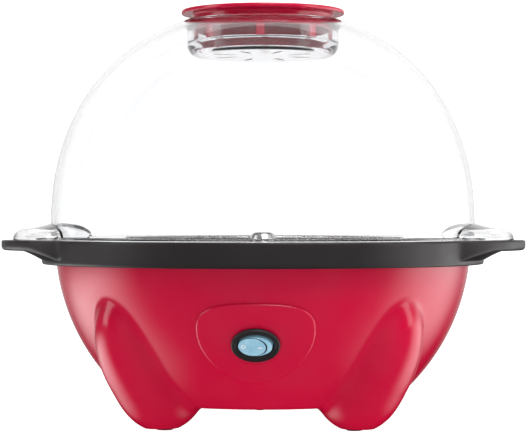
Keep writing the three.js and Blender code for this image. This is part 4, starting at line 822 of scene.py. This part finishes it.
hub_low, hub_high = node_box("rod_hub")
shaft_top = node_box("drive_shaft")[1][2] + 0.5
rod_high = node_box("stirring_rod")[1]
ROD = 1.5
ROD_GAP = 0.3
ROD_BEND, ROD_DROOP = 9, 0.7
rod_middle = rod_high[2] - ROD
hub = turned("hub", rounded([
    [SHAFT_BORE, hub_low[2]], [8, hub_low[2]], [8, hub_low[2] + 1.2], [6.4, hub_high[2] - 0.9],
    [5.2, hub_high[2]], [0, hub_high[2]], [0, shaft_top], [SHAFT_BORE, shaft_top]],
    [0.2, 0.5, 0.9, 0.9, 1.2, 0, 0, 0]), 96)
gate = square_block("gate", 14, ROD + ROD_GAP, hub_low[2] - 1, rod_middle + ROD + ROD_GAP)
hub = combine(hub, gate, "DIFFERENCE")
hub.name = "hub_turning"
show(hub, "stirrer", bright, "rod_hub", slot="bright_steel")


def tube(name, path, radius, around=24):
    """Closed round wire along a path of points, with rounded ends: the section is carried in frames made
    from the path's tangent and the vertical, and drawn in over the last radius at each end."""
    path = np.asarray(path, float)
    tangent = np.gradient(path, axis=0)
    tangent /= np.linalg.norm(tangent, axis=1, keepdims=True)
    aside = np.cross(tangent, [0, 0, 1])
    aside /= np.linalg.norm(aside, axis=1, keepdims=True)
    up = np.cross(aside, tangent)
    a = 2 * math.pi * np.arange(around) / around
    section = aside[:, None] * np.cos(a)[None, :, None] + up[:, None] * np.sin(a)[None, :, None]
    length = np.concatenate([[0], np.cumsum(np.linalg.norm(np.diff(path, axis=0), axis=1))])
    end = np.minimum(length, length[-1] - length)
    full = radius * np.sqrt(1 - (1 - np.clip(end / radius, 0, 1)) ** 2)
    return closed(grid_mesh(name, path[:, None] + section * full[:, None, None], wrap_v=True))


t = np.sin(np.linspace(-1, 1, 161) * math.pi / 2)
far = np.maximum(np.abs(t) - 0.15, 0) / 0.85
rod_path = np.stack([t * (rod_high[0] - 0.2), -np.sign(t) * ROD_BEND * far ** 2,
                     rod_middle - ROD_DROOP * far ** 2], -1)
show(tube("rod_wire", rod_path, ROD), "stirrer", bright, "stirring_rod", slot="bright_steel", sharp=0)


# ------------------------------------------------------------ switch
# A snap-in rocker switch: an oval black nylon bezel with a rounded face, and a clear blue rocker, lit
# from behind, whose raised end shows its sloping wall. The marks are printed in white.
BEZEL_WIDTH = 3.1
BEZEL_INSIDE, BEZEL_OUTSIDE = (9.75, 6.25), (12.85, 9.8)
ROCKER_TILT = math.radians(7.5)
ROCKER_FACE, ROCKER_WALL = (7.3, 5.2), (8.9, 5.65)
FACE_SHIFT = -1.55
FACE_LEVEL, ROCKER_BASE = 3.0, -3.0
AROUND = 128


def oval_sweep(name, inner_half, outer_half, outline, around=AROUND):
    """Closed ring swept round an oval: `outline` holds (share, height), where share 0 lies on the inner
    oval and 1 on the outer one."""
    a = 2 * math.pi * np.arange(around) / around
    share, z = np.asarray(outline, float).T
    first, last = [np.stack([half[0] * np.cos(a), half[1] * np.sin(a)], -1)
                   for half in (inner_half, outer_half)]
    across = first[:, None] * (1 - share)[None, :, None] + last[:, None] * share[None, :, None]
    grid = np.concatenate([across, np.broadcast_to(z[None, :, None], (around, len(z), 1))], -1)
    return closed(grid_mesh(name, grid, wrap_u=True, wrap_v=True))


outline = rounded([[0, -7], [1.5, -7], [1.5, 0.3], [BEZEL_WIDTH, 0.3], [BEZEL_WIDTH, 2.0], [2.1, 2.75],
                   [0.9, 2.3], [0, 1.5]], [0.2, 0.3, 0.1, 0.1, 1.0, 1.0, 0.8, 0.6])
outline[:, 0] /= BEZEL_WIDTH
bezel = oval_sweep("bezel_moulding", BEZEL_INSIDE, BEZEL_OUTSIDE, outline)
show(placed(bezel, SWITCH_PLACE), "base", black_satin, "switch_bezel", slot="black_plastic")

c, s = math.cos(ROCKER_TILT), math.sin(ROCKER_TILT)
ROCKER_PLACE = SWITCH_PLACE @ np.array([[c, 0, -s, 0], [0, 1, 0, 0], [s, 0, c, 0.3], [0, 0, 0, 1]])
a = 2 * math.pi * np.arange(AROUND) / AROUND
face_oval = np.stack([ROCKER_FACE[0] * np.cos(a) + FACE_SHIFT, ROCKER_FACE[1] * np.sin(a)], -1)
wall_oval = np.stack([ROCKER_WALL[0] * np.cos(a), ROCKER_WALL[1] * np.sin(a)], -1)
middle = np.array([FACE_SHIFT, 0])


def rocker_row(inside, outside, share, level):
    """Row of the rocker's grid: a share of the way from one oval, or a point, to another, at a level."""
    row = np.broadcast_to(inside * (1 - share) + outside * share, (AROUND, 2))
    return np.concatenate([row, np.full((AROUND, 1), level)], 1)


crown = ((0, -0.12), (0.35, -0.1), (0.7, -0.04), (0.86, 0.0), (0.94, 0.02), (0.98, 0.12), (1.0, 0.3))
slope = ((0.06, 2.15), (0.16, 2.1), (0.26, 2.35), (0.5, 2.25), (0.8, 1.9), (1.0, 1.3), (1.0, ROCKER_BASE),
         (0.0, ROCKER_BASE))
rows = [rocker_row(middle, face_oval, share, FACE_LEVEL - drop) for share, drop in crown]
rows += [rocker_row(face_oval, wall_oval, share, level) for share, level in slope]
rows.append(rocker_row(middle, face_oval, 0, ROCKER_BASE))
rocker_mesh = closed(grid_mesh("rocker_moulding", np.stack(rows, 1), wrap_u=True))
blue, blue_tree, blue_shader = plain_material("blue_lit_plastic", (0.27, 0.5, 0.63), 0.22)
blue_shader.inputs["Emission Color"].default_value = (0.3, 0.58, 0.74, 1)
blue_shader.inputs["Emission Strength"].default_value = 0.12
vary_color(blue_tree, blue_shader, add_noise(blue_tree, 220.0), (0.23, 0.45, 0.6), (0.32, 0.56, 0.68))
show(placed(rocker_mesh, ROCKER_PLACE), "rocker_body", blue, "rocker", slot="blue_plastic", sharp=30)

# A thin navy sheet laid just over the rocker's groove, between its face and its sloping wall. The groove is
# real shape; its dark colour is painted shade for the shadow line along the raised face.
edge_shade_paint = plain_material("painted_rocker_edge_shade", (0.008, 0.02, 0.07), 0.5)[0]
shade_band_points = np.stack([rocker_row(face_oval, wall_oval, share, level + 0.03)
                   for share, level in ((0.01, 2.7), (0.07, 2.2), (0.16, 2.15), (0.25, 2.38))], 1)
shade_band_mesh = placed(grid_mesh("rocker_edge_painted_shade", shade_band_points, wrap_u=True), ROCKER_PLACE)
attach(link("rocker_edge_painted_shade", shade_band_mesh, edge_shade_paint), "rocker_body")
print_white = plain_material("white_print", (0.9, 0.92, 0.93), 0.5)[0]
ring_mark = oval_sweep("off_mark", (0.75, 0.75), (1.15, 1.15), [[0, 2.9], [1, 2.9], [1, 3.12], [0, 3.12]], 48)
dash_mark = oval_block("on_mark", 1.35, 0.28, 2.9, 3.13, 24)
for mark, x in ((ring_mark, -6.0), (dash_mark, 2.8)):
    mark = placed(mark, ROCKER_PLACE @ moved(x, 0))
    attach(link(mark.name, mark, print_white), "rocker_body")


# ------------------------------------------------------------ underside
# A vented black cover held by four screws, and a rubber pad pressed into each foot.
cover_low, cover_high = node_box("bottom_cover")
VENT_HALF, VENT_PITCH = (22, 1.7), 8
SCREW_SHANK, SCREW_HEAD = 1.6, 3.4
cover = oval_block("cover", cover_high[0], cover_high[0], cover_low[2], cover_high[2], 160)
for k in range(-3, 4):
    slot = oval_block("vent", *VENT_HALF, cover_low[2] - 1, cover_high[2] + 1, 64)
    cover = combine(cover, placed(slot, moved(0, VENT_PITCH * k)), "DIFFERENCE")
rubber, rubber_tree, rubber_shader = plain_material("foot_rubber", (0.02, 0.02, 0.02), 0.8, specular=0.3)
vary_roughness(rubber_tree, rubber_shader, add_noise(rubber_tree, 900.0), 0.7, 0.9)
zinc, zinc_tree, zinc_shader = plain_material("zinc_plate", (0.42, 0.43, 0.44), 0.42, 1.0)
vary_roughness(zinc_tree, zinc_shader, add_noise(zinc_tree, 260.0), 0.34, 0.52)
vary_color(zinc_tree, zinc_shader, add_noise(zinc_tree, 45.0), (0.38, 0.39, 0.4), (0.46, 0.47, 0.48))
for k in range(4):
    low, high = node_box(f"cover_screw_{k + 1}")
    place = moved(*(low + high)[:2] / 2)
    bore = oval_block("bore", SCREW_BORE, SCREW_BORE, cover_low[2] - 1, cover_high[2] + 1, 24)
    cover = combine(cover, placed(bore, place), "DIFFERENCE")
    head = low[2] + 2.3
    screw = turned("screw", rounded([
        [0, low[2]], [2.2, low[2]], [SCREW_HEAD, low[2] + 1.2], [SCREW_HEAD, head], [SCREW_SHANK, head],
        [SCREW_SHANK, high[2] - 1.5], [0, high[2]]], [0, 0.8, 0.6, 0.2, 0.2, 0.3, 0]), 40)
    for half in ((1.9, 0.35), (0.35, 1.9)):
        screw = combine(screw, oval_block("cross", *half, low[2] - 1, low[2] + 1.1, 24), "DIFFERENCE")
    screw.name = f"cover_screw_{k + 1}_turning"
    show(placed(screw, place), "base", zinc, f"cover_screw_{k + 1}", slot="zinc_steel")
    low, high = node_box(f"foot_pad_{k + 1}")
    r = (high[0] - low[0]) / 2
    pad = turned(f"foot_pad_{k + 1}_rubber", rounded([[0, 0], [r, 0], [r, high[2]], [0, high[2]]],
                                                     [0, 0.7, 0.2, 0]), 48)
    show(placed(pad, moved(*(low + high)[:2] / 2)), "base", rubber, f"foot_pad_{k + 1}", slot="foot_rubber")
cover.name = "cover_moulding"
show(cover, "base", black_satin, "bottom_cover", slot="black_plastic")


# ------------------------------------------------------------ mains inlet
# A black nylon gland with a shoulder, pushed through the back wall.
GLAND_BORE, GLAND_NECK, GLAND_SHOULDER = 3.7, 7.7, 11.7
gland = turned("gland_moulding", rounded([
    [GLAND_BORE, -10], [GLAND_NECK, -10], [GLAND_NECK, 0.3], [GLAND_SHOULDER, 0.3], [GLAND_SHOULDER, 2.6],
    [GLAND_BORE, 2.6]], [0.5, 0.4, 0.2, 0.4, 0.9, 0.8]), 96)
show(placed(gland, GLAND_PLACE), "base", black_satin, "cord_gland", slot="black_plastic")


# ------------------------------------------------------------ motor, heater and wiring inside
# Bought-in pieces that show only from below, through the vents, and when the plate is off: plated steel,
# copper, ceramic, natural nylon, silicone and braided sleeving.
def simple(name, color, roughness, metallic, noise_scale, spread=0.12):
    """Material whose colour wanders a little either side of its own and whose roughness varies."""
    material, tree, shader = plain_material(name, color, roughness, metallic)
    darker, lighter = [[value * share for value in color] for share in (1 - spread, 1 + spread)]
    vary_color(tree, shader, add_noise(tree, noise_scale), darker, lighter)
    vary_roughness(tree, shader, add_noise(tree, 4 * noise_scale), roughness * 0.85, roughness * 1.15)
    return material


finishes = {
    "red_plastic": red_gloss, "black_plastic": black_satin, "foot_rubber": rubber, "clear_plastic": clear,
    "nonstick": nonstick, "bright_steel": bright, "zinc_steel": zinc, "blue_plastic": blue,
    "aluminium": simple("plain_aluminium", (0.6, 0.6, 0.6), 0.35, 1.0, 80),
    "copper": simple("enamelled_copper", (0.45, 0.16, 0.07), 0.35, 1.0, 300),
    "white_nylon": simple("natural_nylon", (0.74, 0.7, 0.6), 0.5, 0.0, 60, 0.05),
    "ceramic": simple("ceramic_body", (0.7, 0.66, 0.58), 0.7, 0.0, 200, 0.06),
    "silicone": simple("silicone_seal", (0.3, 0.06, 0.05), 0.65, 0.0, 90),
    "lead_sleeve": simple("braided_sleeve", (0.6, 0.57, 0.5), 0.8, 0.0, 900, 0.15),
}
slots = {part["node"]: part["material_slot"] for part in frame["record"]["subparts"]}
for name, node in frame["nodes"].items():
    if not node.hide_render and name in slots:
        node.data.materials.clear()
        node.data.materials.append(finishes[slots[name]])
        node.data.polygons.foreach_set("use_smooth", np.full(len(node.data.polygons), True))
        node.data.set_sharp_from_angle(angle=math.radians(30))


low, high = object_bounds()
